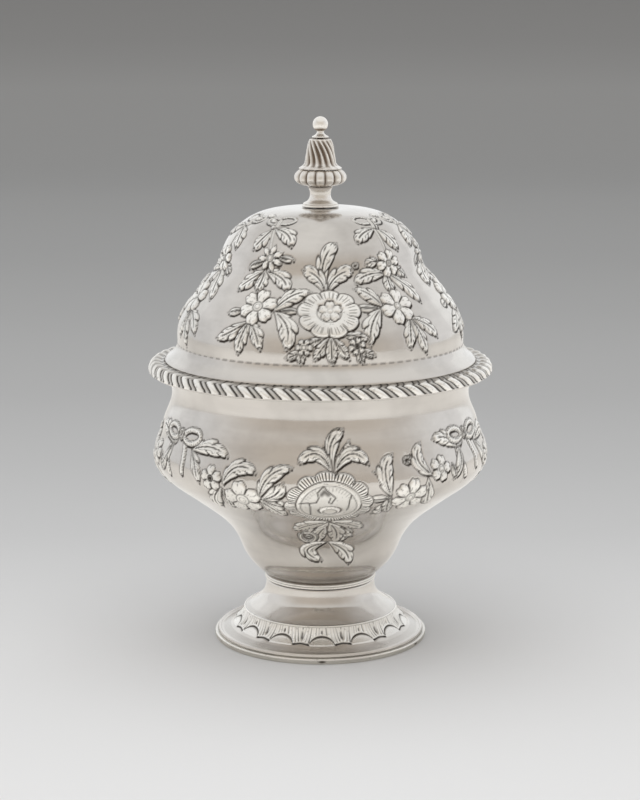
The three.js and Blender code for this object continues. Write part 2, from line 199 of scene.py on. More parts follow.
world = bpy.data.worlds.new("tent")
world.use_nodes = True
world.node_tree.nodes.clear()
bpy.context.scene.world = world
wire = Wire(world.node_tree)
way = wire.node("ShaderNodeSeparateXYZ", (), {
    "Vector": wire.node("ShaderNodeTexCoord", output="Generated")}, output="Y")
upward = Wire(wire.tree, way.socket.node.outputs["Z"])
backward = wire.node("ShaderNodeMapRange", {"interpolation_type": "SMOOTHSTEP"}, {
    "Value": way, "From Min": TENT_TURN[0], "From Max": TENT_TURN[1]})
overhead = wire.node("ShaderNodeMapRange", {"interpolation_type": "SMOOTHSTEP"}, {
    "Value": upward, "From Min": TENT_RISE[0], "From Max": TENT_RISE[1]})
side = backward.blend(TENT_FRONT, TENT_BACK)
tent = overhead.blend(side, TENT_TOP)
wire.node("ShaderNodeOutputWorld", (), {
    "Surface": wire.node("ShaderNodeBackground", (), {"Color": tent, "Strength": 1.0})})

lamp_data = bpy.data.lights.new("top_lamp", "AREA")
lamp_data.size = LAMP_SIZE
lamp_data.energy = LAMP_WATTS
lamp = bpy.data.objects.new("top_lamp", lamp_data)
lamp.location = LAMP_PLACE
lamp.rotation_euler = (math.atan2(LAMP_PLACE[1], LAMP_PLACE[2]),
                       math.atan2(LAMP_PLACE[0], LAMP_PLACE[2]), 0)
lamp.visible_glossy = False
bpy.context.scene.collection.objects.link(lamp)


# Base wire. A plain drawn ring of silver is soldered under the edge of the foot.
# It carries the bowl on the table, so its outside has a few dark knocks.
# Sizes are in millimetres, and heights count from the underside of each piece.
WIRE_RADIUS = 34.6
WIRE_WIDTH = 2.8
WIRE_HEIGHT = 1.7
WIRE_ROUND = 0.3
WIRE_COLUMNS = 480
WIRE_KNOCKS = ((0.9, 1.2), (63.0, 1.0), (-68.0, 0.5), (27.0, 0.35), (-118.0, 0.9), (160.0, 0.6))
METRE = 0.001


def seat(node):
    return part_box(node)[0].z / METRE


def rounded(corners, radius, steps=4):
    """A closed outline with each corner turned on a small radius."""
    points = []
    count = len(corners)
    for i, corner in enumerate(corners):
        corner = np.array(corner, float)
        back = np.array(corners[i - 1]) - corner
        ahead = np.array(corners[(i + 1) % count]) - corner
        back *= radius / np.linalg.norm(back)
        ahead *= radius / np.linalg.norm(ahead)
        for t in np.linspace(0, 1, steps + 1):
            points.append((corner + back * (1 - t) ** 2 + ahead * t ** 2).tolist())
    return points


def mesh_object(name, points, faces, marks=None):
    mesh = bpy.data.meshes.new(name)
    mesh.from_pydata((np.asarray(points) * METRE).tolist(), [], faces)
    for mark, values in (marks or {}).items():
        attribute = mesh.attributes.new(mark, "FLOAT", "POINT")
        attribute.data.foreach_set("value", np.asarray(values, np.float32))
    made = bpy.data.objects.new(name, mesh)
    bpy.context.scene.collection.objects.link(made)
    return made


def sector(name, outline, raise_by, count, columns, rule=None):
    """One repeat of a turned shape: a closed outline swept through 1/count of the circle.
    A rule moves the points of each column in their radial plane and gives their marks."""
    outline = np.array(outline)
    angles = np.linspace(0, 2 * np.pi / count, columns + 1)
    angle, radius = np.meshgrid(angles, outline[:, 0], indexing="ij")
    height = np.broadcast_to(outline[:, 1], angle.shape)
    marks = {}
    if rule:
        radius, height, marks = rule(angle, radius, height)
    points = np.stack([radius * np.cos(angle), radius * np.sin(angle), height + raise_by], -1)
    rows = len(outline)
    faces = []
    for i in range(columns):
        for j in range(rows):
            k = (j + 1) % rows
            faces.append((i * rows + j, (i + 1) * rows + j, (i + 1) * rows + k, i * rows + k))
    return mesh_object(name, points.reshape(-1, 3), faces,
                       {mark: values.ravel() for mark, values in marks.items()})


def ring_tree():
    """Geometry nodes that set a piece round the upright axis and weld the repeats."""
    tree = bpy.data.node_groups.new("set_round_the_axis", "GeometryNodeTree")
    for name, kind in (("Repeat", "NodeSocketGeometry"), ("Count", "NodeSocketInt"),
                       ("Weld", "NodeSocketFloat"), ("Finish", "NodeSocketMaterial")):
        tree.interface.new_socket(name, in_out="INPUT", socket_type=kind)
    tree.interface.new_socket("Ring", in_out="OUTPUT", socket_type="NodeSocketGeometry")
    wire = Wire(tree)
    given = tree.nodes.new("NodeGroupInput")
    repeat, count, weld, finish = (Wire(tree, given.outputs[i]) for i in range(4))
    step = wire.node("ShaderNodeMath", {"operation": "DIVIDE"}, {0: 2 * math.pi, 1: count})
    turn = wire.node("ShaderNodeCombineXYZ", (), {"Z": wire.node("GeometryNodeInputIndex") * step})
    copies = wire.node("GeometryNodeInstanceOnPoints", (), {
        "Points": wire.node("GeometryNodePoints", (), {"Count": count}),
        "Instance": repeat,
        "Rotation": wire.node("FunctionNodeEulerToRotation", (), {"Euler": turn}),
    })
    whole = wire.node("GeometryNodeRealizeInstances", (), {"Geometry": copies})
    welded = wire.node("GeometryNodeMergeByDistance", (), {"Geometry": whole, "Distance": weld})
    dressed = wire.node("GeometryNodeSetMaterial", (), {"Geometry": welded, "Material": finish})
    wire.node("NodeGroupOutput", (), {0: dressed})
    return tree


RING = ring_tree()


def set_round(repeat, count, finish, weld=0.000002):
    """The finished ring as a plain mesh, from one repeat of it."""
    modifier = repeat.modifiers.new("ring", "NODES")
    modifier.node_group = RING
    sockets = {item.name: item.identifier for item in RING.interface.items_tree}
    modifier[sockets["Count"]] = count
    modifier[sockets["Weld"]] = weld
    modifier[sockets["Finish"]] = finish
    graph = bpy.context.evaluated_depsgraph_get()
    ring = bpy.data.meshes.new_from_object(repeat.evaluated_get(graph))
    repeat.modifiers.remove(modifier)
    repeat.data = ring
    ring.name = repeat.name
    ring.polygons.foreach_set("use_smooth", [True] * len(ring.polygons))
    return repeat


def fit(piece, body, slot, *nodes):
    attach(piece, body)
    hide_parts(*nodes)


POLISHED = (0.99, 0.97, 0.93)
CLOUD_SCALE = 38.0
SMEAR_SCALE = (60, 60, 420)
HAIR_SCALE = (3000, 260, 900)
HAIR_TURN = (0.4, 0.3, 0.7)
FLECK_SCALE = 1150.0
HAMMER_SCALE = 95.0


def silver(name, tone, grime_and_shade, gloss, wear):
    """Silver of one finish: tone where it is clean, grime in its hollows and marks, and the painted
    shade and painted dark reflections that some marks carry.
    Gloss is its roughness, and wear the depth of its fine scratches. The points' own values
    say where it is marked, polished on relief, and combed with fine strokes."""
    material, wire = new_material(name)
    place = wire.node("ShaderNodeTexCoord", output="Object")
    cloud = wire.node("ShaderNodeTexNoise", (), {
        "Vector": place, "Scale": CLOUD_SCALE, "Detail": 4.0, "Roughness": 0.6})
    smear = wire.node("ShaderNodeTexNoise", (), {
        "Vector": wire.node("ShaderNodeMapping", (), {"Vector": place, "Scale": SMEAR_SCALE}),
        "Scale": 1.0, "Detail": 3.0})
    hair = wire.node("ShaderNodeTexNoise", (), {
        "Vector": wire.node("ShaderNodeMapping", (), {
            "Vector": place, "Rotation": HAIR_TURN, "Scale": HAIR_SCALE}),
        "Scale": 1.0, "Detail": 2.0})
    dull = wire.node("ShaderNodeMapRange", (), {
        "Value": cloud, "From Min": 0.42, "From Max": 0.75, "To Min": 0.0, "To Max": 0.26})
    dull = dull + (smear - 0.42) * 0.16
    mark, relief, comb, combed = (
        wire.node("ShaderNodeAttribute", {"attribute_name": kept}, output="Fac")
        for kept in ("mark", "relief", "comb", "combed"))
    clean = relief.blend((*tone, 1), (*POLISHED, 1))
    tooth = wire.node("ShaderNodeMapRange", {"interpolation_type": "SMOOTHSTEP"}, {
        "Value": wire.math("COSINE", comb), "From Min": -0.1, "From Max": 0.8})
    mark = wire.math("MAXIMUM", mark, tooth * combed)
    fleck = wire.node("ShaderNodeTexNoise", (), {
        "Vector": place, "Scale": FLECK_SCALE, "Detail": 2.0, "Roughness": 0.7})
    fleck = wire.node("ShaderNodeMapRange", (), {
        "Value": fleck, "From Min": 0.56, "From Max": 0.70, "To Max": 0.42})
    # The marks darken to the grime colour: real grime, and in places painted shade and painted dark
    # reflections.
    dirt_and_shade = wire.math("MAXIMUM", wire.math("MAXIMUM", dull, mark * 0.98), fleck * relief)
    colour = dirt_and_shade.blend(clean, (*grime_and_shade, 1))
    rough = gloss + (smear - 0.5) * 0.10 + dull * 0.12 + relief * 0.22 + mark * 0.3
    scratch = wire.node("ShaderNodeBump", (), {
        "Height": hair, "Strength": wear, "Distance": 0.00004})
    wave = wire.node("ShaderNodeTexNoise", (), {"Vector": place, "Scale": HAMMER_SCALE, "Detail": 1.0})
    planish = wire.node("ShaderNodeBump", (), {
        "Height": wave, "Strength": 0.35, "Distance": 0.0002, "Normal": scratch})
    skin = wire.node("ShaderNodeBsdfPrincipled", (), {
        "Base Color": colour, "Metallic": 1.0, "Roughness": rough, "Normal": planish})
    wire.node("ShaderNodeOutputMaterial", (), {"Surface": skin})
    return material


plain_silver = silver("plain_silver", (0.50, 0.485, 0.455), (0.05, 0.04, 0.03), 0.22, 0.25)
wire_inner = WIRE_RADIUS - WIRE_WIDTH


def wire_knocks(angle, radius, height):
    """Marks the dark knocks on the outside of the wire."""
    middle = np.mean(height)
    mark = np.zeros(angle.shape)
    for turn, wide in WIRE_KNOCKS:
        right = ((np.degrees(angle) + 90 - turn + 180) % 360 - 180) * math.radians(radius.max())
        away = (right / wide) ** 2 + ((height - middle) / (0.3 * wide)) ** 2
        mark = np.maximum(mark, np.exp(-away ** 2) * (radius > WIRE_RADIUS - 0.4))
    crest = np.clip((height - height.max()) / 0.4 + 1.5, 0, 1)
    return radius, height, {"mark": mark, "relief": 0.8 * crest}


base_wire_outline = rounded([
    (wire_inner, 0), (WIRE_RADIUS, 0), (WIRE_RADIUS, WIRE_HEIGHT / 2), (WIRE_RADIUS, WIRE_HEIGHT),
    (wire_inner, WIRE_HEIGHT)], WIRE_ROUND)
base_wire = set_round(sector("base_wire", base_wire_outline, seat("foot_base_wire"), 1,
                             WIRE_COLUMNS, wire_knocks), 1, plain_silver)
fit(base_wire, "bowl", "plain_silver", "foot_base_wire")

# Foot. It is raised from sheet: an edge bead, a chased band of arches, a beaded step and a stem.
# The inside is open, and the stem's top is soldered to the joint wire.
FOOT_SHEET = 0.9
FOOT_EDGE = (33.8, 0.0)
FOOT_BEAD = (33.1, 0.5)
FOOT_SLOPE = ((32.3, 0.3, 166), (27.8, 2.7, 141), (24.7, 7.1, 106))
FOOT_STEM = ((24.7, 7.4, 153), (19.7, 11.0, 136), (17.7, 17.2, 90))
FOOT_INNER_STEP = (24.7, 7.4, 129)
STEP_BEAD_PLACE = (24.75, 7.3)
FOOT_BEAD_ROUND = 0.45
STEP_BEAD_ROUND = 0.34
ARCH_COUNT = 13
ARCH_TURN = 1.0
ARCH_SHARE = 0.3
ARCH_RISE = 3.3
FLUTES_PER_ARCH = 13
BAND_FOOT = 4.35
BAND_TOP = 10.4
SLOPE_ROW = 12
FOOT_COLUMNS = 60
LIP_LIFT = 0.22
FLUTE_LIFT = 0.30
TEAR_DEPTH = 0.35
DROP_DEPTH = 0.3
EDGE_DEPTH = 0.15
BEAD_LIFT = 0.08
SHELL_LIFT = 0.12
BEADS_PER_ARCH = 26
SLOPE_PAINTED_REFLECTION = 0.22
STEM_PAINTED_REFLECTION = 0.14
HANDLE_SHARE = 0.37


def flow(stations, spacing=0.3):
    """A smooth outline through stations of radius, height and lean, a point each spacing."""
    points = []
    for start, end in zip(stations[:-1], stations[1:]):
        a, d = np.array(start[:2]), np.array(end[:2])
        handle = HANDLE_SHARE * np.linalg.norm(d - a)
        lean_a, lean_d = np.radians(start[2]), np.radians(end[2])
        b = a + handle * np.array([np.cos(lean_a), np.sin(lean_a)])
        c = d - handle * np.array([np.cos(lean_d), np.sin(lean_d)])
        count = max(int(np.linalg.norm(d - a) / spacing), 3)
        t = np.linspace(0, 1, count + 1)[1 if points else 0:, None]
        curve = (1 - t) ** 3 * a + 3 * (1 - t) ** 2 * t * b + 3 * (1 - t) * t * t * c + t ** 3 * d
        points.extend(curve.tolist())
    return points


def inset(outline, thickness):
    """The outline moved to the left of its travel by a sheet's thickness."""
    points = np.array(outline)
    travel = np.gradient(points, axis=0)
    travel /= np.linalg.norm(travel, axis=1, keepdims=True)
    return (points + thickness * np.stack([-travel[:, 1], travel[:, 0]], 1)).tolist()


def bead(centre, radius, start, end, steps=8):
    """Part of a small round moulding, between two angles in degrees."""
    turns = np.radians(np.linspace(start, end, steps + 1))
    return [(centre[0] + radius * math.cos(t), centre[1] + radius * math.sin(t)) for t in turns]


def smooth(low, high, value):
    t = np.clip((value - low) / (high - low), 0, 1)
    return t * t * (3 - 2 * t)


def foot_chasing(angle, radius, height):
    """Arches with flutes that fan up from them to the step, struck into the slope."""
    steps = np.hypot(np.diff(radius, axis=1), np.diff(height, axis=1))
    up = np.concatenate([np.zeros((len(radius), 1)), np.cumsum(steps, axis=1)], axis=1)
    up = up - up[:, SLOPE_ROW:SLOPE_ROW + 1]
    repeat = (np.degrees(angle) + 90 - ARCH_TURN) / (360 / ARCH_COUNT)
    swing = (repeat + 0.5) % 1 - 0.5
    out = np.abs(swing)
    arch = ARCH_RISE * np.sqrt(np.clip(1 - (out / ARCH_SHARE) ** 2, 0, 1))
    dip = 0.7 * np.sin(np.pi * np.clip((out - ARCH_SHARE) / (1 - 2 * ARCH_SHARE), 0, 1))
    edge = up - BAND_FOOT - np.maximum(arch, dip)
    within = smooth(BAND_FOOT - 0.5, BAND_FOOT, up) * smooth(BAND_TOP + 0.2, BAND_TOP - 0.1, up)
    lip = np.exp(-((edge - 0.35) / 0.3) ** 2)
    above = smooth(0.45, 0.9, edge)
    high = np.clip((up - BAND_FOOT) / (BAND_TOP - BAND_FOOT), 0, 1)
    fan = FLUTES_PER_ARCH * (swing * (1 - 0.25 * (1 - high)) + 0.5) + 0.35 * np.sin(9 * swing + 2)
    flutes = 0.5 - 0.5 * np.cos(2 * np.pi * fan)
    tear = np.exp(-((out - 0.5) / 0.03) ** 2) * smooth(1.2, 2.2, edge) * smooth(4.6, 3.4, edge)
    drop = np.exp(-(swing / 0.022) ** 2) * smooth(0.6, 1.1, edge) * smooth(2.3, 1.5, edge)
    curl = np.exp(-((out - ARCH_SHARE - 0.03) / 0.03) ** 2 - ((edge - 0.1) / 0.25) ** 2)
    line = np.exp(-((edge + 0.05) / 0.33) ** 2)
    chisel = 0.62 + 0.38 * np.sin(2.4 * np.floor(fan + 0.5) + 1)
    beads = np.exp(-((edge + 0.62) / 0.2) ** 2) * (out < ARCH_SHARE - 0.02)
    beads = beads * (0.5 + 0.5 * np.cos(2 * np.pi * repeat * BEADS_PER_ARCH))
    raise_by = within * (LIP_LIFT * lip + FLUTE_LIFT * above * flutes ** 0.6 - TEAR_DEPTH * tear
                         - DROP_DEPTH * drop)
    raise_by = raise_by - EDGE_DEPTH * within * line + BEAD_LIFT * beads
    groove = above * (1 - flutes) ** 2.2 * chisel * (0.6 + 0.4 * smooth(0.9, 0.2, high))
    mark = within * np.clip(1.1 * line + 0.8 * tear + 0.8 * drop + curl + groove, 0, 1)
    shell = smooth(-0.15, -0.35, edge) * (out < ARCH_SHARE - 0.01)
    shell = shell * smooth(BAND_FOOT - 0.3, BAND_FOOT, up)
    raise_by = raise_by + SHELL_LIFT * shell
    bead_top = smooth(BAND_TOP, BAND_TOP + 0.2, up) * smooth(BAND_TOP + 1.4, BAND_TOP + 1.2, up)
    # The beads' dark is chased; the bands on the slope above the edge bead and on the stem above the
    # step are painted dark reflections.
    mark = mark + 0.6 * beads + SLOPE_PAINTED_REFLECTION * smooth(0.2, 0.7, up) * smooth(3.6, 2.8, up)
    stem_foot = smooth(BAND_TOP + 1.4, BAND_TOP + 1.8, up) * smooth(BAND_TOP + 4.2, BAND_TOP + 3.0, up)
    mark = mark + STEM_PAINTED_REFLECTION * stem_foot
    slope = np.radians(78 - 5.9 * np.clip(up, 3, 11))
    relief = np.maximum(within * smooth(-0.1, 0.2, edge), 0.55 * shell + 0.9 * bead_top)
    return (radius + raise_by * np.cos(slope), height + raise_by * np.sin(slope),
            {"mark": np.clip(mark, 0, 1), "relief": relief})


chased_silver = silver("chased_silver", (0.68, 0.65, 0.615), (0.028, 0.021, 0.016), 0.14, 0.18)
foot_outline = [FOOT_EDGE, *bead(FOOT_BEAD, FOOT_BEAD_ROUND, -20, 175, 10)]
foot_outline += flow(FOOT_SLOPE, 0.18)
foot_outline += bead(STEP_BEAD_PLACE, STEP_BEAD_ROUND, -60, 110, 8) + flow(FOOT_STEM, 0.5)
foot_inside = inset(flow((*FOOT_SLOPE[:2], FOOT_INNER_STEP, *FOOT_STEM[1:]), 1.2), FOOT_SHEET)
foot_inside = [point for point in foot_inside if point[1] > 0]
foot_outline += foot_inside[::-1] + [(foot_inside[0][0] + 0.4, 0.0)]
foot = set_round(sector("foot", foot_outline, seat("foot_shell"), ARCH_COUNT, FOOT_COLUMNS,
                        foot_chasing), ARCH_COUNT, chased_silver)
fit(foot, "bowl", "polished_silver", "foot_shell")

# Joint wire. A drawn ring with two reeds hides the solder between the stem and the bowl.
# Its hollows have gone dark, and its crests are bright from wear. The solder fills the seam
# under the bowl.
JOINT_RADIUS = 18.1
JOINT_WIDTH = 2.0
JOINT_HEIGHT = 1.4
REED_COUNT = 2
SOLDER_RISE = 0.28
REED_ROUND = 0.61
reed = JOINT_HEIGHT / REED_COUNT / 2


def reed_wear(angle, radius, height):
    crest = smooth(JOINT_RADIUS - 0.1, JOINT_RADIUS - 0.03, radius)
    hollow = (1 - crest) * (radius > JOINT_RADIUS - 0.4)
    return radius, height, {"mark": 0.55 * hollow, "relief": 0.6 * crest}


joint_outline = [(JOINT_RADIUS - JOINT_WIDTH, 0.0)]
for i in range(REED_COUNT):
    joint_outline += bead((JOINT_RADIUS - REED_ROUND, (2 * i + 1) * reed), REED_ROUND, -35, 35, 8)
joint_outline += [(JOINT_RADIUS - 0.5, JOINT_HEIGHT + SOLDER_RISE),
                  (JOINT_RADIUS - JOINT_WIDTH, JOINT_HEIGHT + SOLDER_RISE)]
joint_wire = set_round(sector("reeded_wire", joint_outline, seat("joint_wire"), 8, 20, reed_wear),
                       8, chased_silver)
fit(joint_wire, "bowl", "plain_silver", "joint_wire")

# Bowl. It is raised from one sheet, bellied low and drawn in at the neck, with a plain rim.
# Sprays, garlands and ribbon bows are embossed from inside and chased from outside, three
# times round: each lies at a place of degrees round the axis and millimetres up the outline.
BOWL_SHEET = 1.0
BOWL_BASE = ((0.0, 0.0), (9.0, 0.0), (17.1, 0.0), (17.7, 0.1))
BOWL_WALL = ((18.3, 0.5, 37), (25.9, 10.3, 70), (42.1, 27.3, 37), (53.6, 40.7, 90),
             (51.0, 49.8, 97), (47.8, 60.7, 90), (50.0, 68.4, 80))
BOWL_RIM_HEIGHT = 70.2
BOWL_REPEATS = 3
BOWL_COLUMNS = 300
BOWL_ROWS = 228
BOWL_RIM_RADIUS = 50.0
BOWL_FLOOR = ((17.0, 1.0), (9.0, 1.0), (0.0, 1.0))
OVAL_MIDDLE = (2.8, 48.3)
OVAL_SIZE = (9.9, 8.3)
BLOCK = 4
LINE_WIDTH = 0.28
RELIEF = 0.5
CURL = 0.4
# Grid steps by which the painted shade of raised work falls to the right and below it.
SHADE_COLUMNS = 1
SHADE_ROWS = 2
WORKED_LIFT = 0.02
WORKED_MARK = 0.1
PAINTED_REFLECTION_TOP = 4.9
BOWL_PAINTED_REFLECTION = 0.36


class Chasing:
    """Embossed work on a shell: its lift in millimetres, its dark lines and where it lies."""

    def __init__(self, angle, arc, radius, period):
        self.degrees = np.degrees(angle) + 90
        self.arc = arc
        self.radius = radius
        self.period = period
        self.lift = np.zeros(angle.shape)
        self.mark = np.zeros(angle.shape)
        self.relief = np.zeros(angle.shape)
        self.comb = np.zeros(angle.shape)
        self.combed = np.zeros(angle.shape)
        self.painted_reflection = np.zeros(angle.shape)

    def near(self, place, reach):
        """The grid points round a place, and their millimetres right of it and above it."""
        turn = (self.degrees - place[0] + self.period / 2) % self.period - self.period / 2
        right = np.radians(turn) * self.radius
        above = self.arc - place[1]
        spot = np.nonzero((np.abs(right) < reach) & (np.abs(above) < reach))
        return spot, right[spot], above[spot]

    def offset(self, start, end):
        """Millimetres from one place to another."""
        row = np.argmin(np.abs(self.arc[0] - end[1]))
        return math.radians(end[0] - start[0]) * self.radius[0, row], end[1] - start[1]

    def lay(self, spot, depth, body, lines, edge=1.0):
        """Lays one motif over what is there. Depth is millimetres inside its outline."""
        over = smooth(-0.5, -0.15, depth)
        outline = np.exp(-((depth + 0.14) / LINE_WIDTH) ** 2)
        lift = RELIEF * body * smooth(-0.05, 0.6, depth) - 0.14 * edge * outline
        mark = np.clip(lines * smooth(-0.1, 0.15, depth) + 0.88 * edge * outline, 0, 1)
        self.lift[spot] = self.lift[spot] * (1 - over) + lift * over
        self.mark[spot] = self.mark[spot] * (1 - over) + mark * over
        self.relief[spot] = self.relief[spot] * (1 - over) + smooth(-0.1, 0.2, depth) * over
        self.combed[spot] = self.combed[spot] * (1 - over)

    def leaf(self, root, tip, width, bend=0.0, lobes=3, high=1.0, full=0.54, plain=False):
        """A leaf whose rib arches to its left by a share of its length, lobed outside the bend."""
        dx, dy = self.offset(root, tip)
        length = math.hypot(dx, dy)
        u = np.linspace(0, 1, 13)
        turn_x, turn_y = 0.58 * dx - 2 * bend * dy, 0.58 * dy + 2 * bend * dx
        rib_x = 2 * u * (1 - u) * turn_x + u * u * dx
        rib_y = 2 * u * (1 - u) * turn_y + u * u * dy
        spot, right, above = self.near(root, np.max(np.hypot(rib_x, rib_y)) + width)
        steps = np.hypot(np.diff(rib_x), np.diff(rib_y))
        run = np.concatenate([[0], np.cumsum(steps)])
        away = np.full(right.shape, 1e3)
        t = np.zeros(right.shape)
        side = np.ones(right.shape)
        for i, step in enumerate(steps):
            ex, ey = (rib_x[i + 1] - rib_x[i]) / step, (rib_y[i + 1] - rib_y[i]) / step
            px, py = right - rib_x[i], above - rib_y[i]
            on = np.clip(px * ex + py * ey, 0, step)
            here = np.hypot(px - on * ex, py - on * ey)
            closer = here < away
            t = np.where(closer, (run[i] + on) / run[-1], t)
            side = np.where(closer, np.sign(py * ex - px * ey), side)
            away = np.minimum(away, here)
        outer = side * (-1 if bend < 0 else 1)
        shape = (t / full) ** 1.2 * ((1 - t) / (1 - full) + 1e-6) ** (1.2 * (1 - full) / full)
        shape = 0.07 + 0.93 * np.clip(shape, 0, 1)
        plump = np.clip(away / (0.5 * width * shape), 0, 1.4)
        phase = lobes * t + 0.2 * outer - 0.62 * plump + 0.35
        part = phase - np.floor(phase)
        notch = 1 - np.sin(np.pi * part ** 1.35) ** 0.5
        ragged = 0 if plain else 1
        bite = ragged * (0.30 + 0.12 * outer) * notch * smooth(0.15, 0.4, t)
        half = 0.5 * width * shape * (1.12 - bite)
        q = np.clip(away / half, 0, 1)
        depth = (half - away) * 0.92
        rib = np.exp(-((away - 0.1) / 0.2) ** 2) * smooth(0.03, 0.12, t) * smooth(0.9, 0.75, t)
        hollow = np.sin(np.pi * np.clip(q * 1.15, 0, 1))
        body = 0.80 + 0.18 * smooth(0, 0.7, t) - 0.16 * hollow * (outer > 0) - 0.22 * rib
        split = np.exp(-((part - 0.04) / 0.08) ** 2) + np.exp(-((part - 1.04) / 0.08) ** 2)
        split = ragged * split * smooth(0.4, 0.55, q) * smooth(0.25, 0.45, t)
        vein = np.exp(-((q - 0.45) * half / 0.17) ** 2) * smooth(0.08, 0.2, t)
        vein = vein * smooth(0.74 + 0.1 * outer, 0.55, t) * (half > 0.7)
        drop = np.exp(-((part - 0.52) / 0.11) ** 2 - ((q - 0.62) / 0.14) ** 2) * smooth(0.5, 0.65, t)
        drop = ragged * drop
        lines = rib ** 1.5 + 1.15 * split + 0.6 * vein + 1.1 * drop
        self.lay(spot, depth, high * (body - 0.2 * split - 0.2 * drop), np.clip(lines, 0, 1))
        curl = np.hypot(right - rib_x[-1] + 0.4 * ex, above - rib_y[-1] + 0.4 * ey)
        self.lay(spot, CURL - curl, high, np.exp(-(curl / 0.26) ** 2), 0.4)

    def flower(self, place, size, petals=5, turn=0.0, eye=1.3, high=1.2, sharp=False, dark=0.0,
               outline=1.0):
        """A flower seen from the front: petals round an eye, with short strokes on them."""
        spot, right, above = self.near(place, size * 1.25)
        reach = np.hypot(right, above)
        phase = petals * (np.arctan2(above, right) - math.radians(turn)) / (2 * np.pi)
        p = (phase + 0.5) % 1 - 0.5
        if sharp:
            rim = size * (1 - 0.52 * np.abs(2 * p) ** 0.9)
        else:
            rim = size * (1 - 0.34 * np.abs(2 * p) ** 3.4 - 0.03 * np.cos(6 * np.pi * p))
        depth = (rim - reach) * 0.9
        out = np.clip(reach / rim, 0, 1)
        spread = 2 * np.pi / petals * reach
        gap = np.exp(-((0.5 - np.abs(p)) * spread / (0.16 + 0.22 * out)) ** 2)
        gap = gap * smooth(eye + 0.2, eye + 0.6, reach)
        stroke = np.exp(-(p * spread / 0.18) ** 2) * smooth(0.74, 0.80, out) * smooth(0.98, 0.9, out)
        twin = np.exp(-((np.abs(p) - 0.24) * spread / 0.17) ** 2)
        twin = twin * smooth(0.42, 0.48, out) * smooth(0.66, 0.58, out)
        cup = 0.62 + 0.34 * smooth(0.2, 0.7, out) - 0.10 * (2 * np.abs(p)) ** 2
        body = high * (cup - 0.35 * gap - 0.12 * stroke)
        knob = smooth(eye + 0.15, eye - 0.15, reach)
        button = high * (0.6 + 0.35 * np.sqrt(np.clip(1 - (reach / eye) ** 2, 0, 1)))
        ring = np.exp(-((reach - eye) / 0.24) ** 2)
        pit = 1.2 * dark * np.exp(-(reach / (0.72 * eye)) ** 4)
        pit = pit + 0.6 * (eye > 1) * np.exp(-((reach - 0.52 * eye) / 0.17) ** 2)
        body = body * (1 - knob) + (button - 0.5 * high * pit) * knob - 0.2 * high * ring
        lines = np.clip(1.2 * gap + 0.7 * stroke + 0.6 * twin + (0.8 + 0.2 * dark) * ring + pit, 0, 1)
        self.lay(spot, depth, body, lines * outline, outline)

    def along(self, path, width):
        """The grid points near a path of places, their distance from it and along it."""
        middle = path[len(path) // 2]
        reach = max(math.hypot(*self.offset(middle, place)) for place in path) + 2 * width
        spot, right, above = self.near(middle, reach)
        away = np.full(right.shape, reach)
        travelled = np.zeros(right.shape)
        run = 0.0
        for start, end in zip(path[:-1], path[1:]):
            ax, ay = self.offset(middle, start)
            bx, by = self.offset(middle, end)
            length = max(math.hypot(bx - ax, by - ay), 1e-6)
            t = np.clip(((right - ax) * (bx - ax) + (above - ay) * (by - ay)) / length ** 2, 0, 1)
            here = np.hypot(right - ax - t * (bx - ax), above - ay - t * (by - ay))
            travelled = np.where(here < away, run + t * length, travelled)
            away = np.minimum(away, here)
            run += length
        return spot, away, travelled

    def ribbon(self, path, width, high=0.7, beaded=False, dark=1.0):
        """A flat ribbon along a path of places, with a fine line or beads along its edges."""
        spot, away, travelled = self.along(path, width)
        depth = width / 2 - away
        body = high * (0.85 + 0.15 * np.cos(np.pi * away / width))
        edge = np.exp(-((depth - 0.42) / 0.18) ** 2)
        if beaded:
            edge = edge * (0.5 - 0.5 * np.cos(2 * np.pi * travelled / 0.95)) ** 0.7
        self.lay(spot, depth, body - 0.1 * edge, 0.9 * dark * edge, dark)

    def line(self, path, width=0.26, dark=1.0):
        """A line sunk with the chasing tool along a path of places."""
        spot, away, travelled = self.along(path, width + 1)
        sunk = np.exp(-(away / width) ** 2)
        self.lift[spot] = self.lift[spot] - 0.18 * sunk
        self.mark[spot] = np.maximum(self.mark[spot], dark * sunk)

    def loop(self, centre, wide, tall, lean, width, start=0, end=360, beaded=True,
             dark=1.0):
        """A loop of ribbon, part of a leaning ellipse round its centre."""
        path = []
        row = np.argmin(np.abs(self.arc[0] - centre[1]))
        degree = math.radians(1) * self.radius[0, row]
        for t in np.radians(np.linspace(start, end, 25)):
            x, y = wide * math.cos(t), tall * math.sin(t)
            c, s = math.cos(math.radians(lean)), math.sin(math.radians(lean))
            path.append((centre[0] + (x * c - y * s) / degree, centre[1] + x * s + y * c))
        self.ribbon(path, width, beaded=beaded, dark=dark)

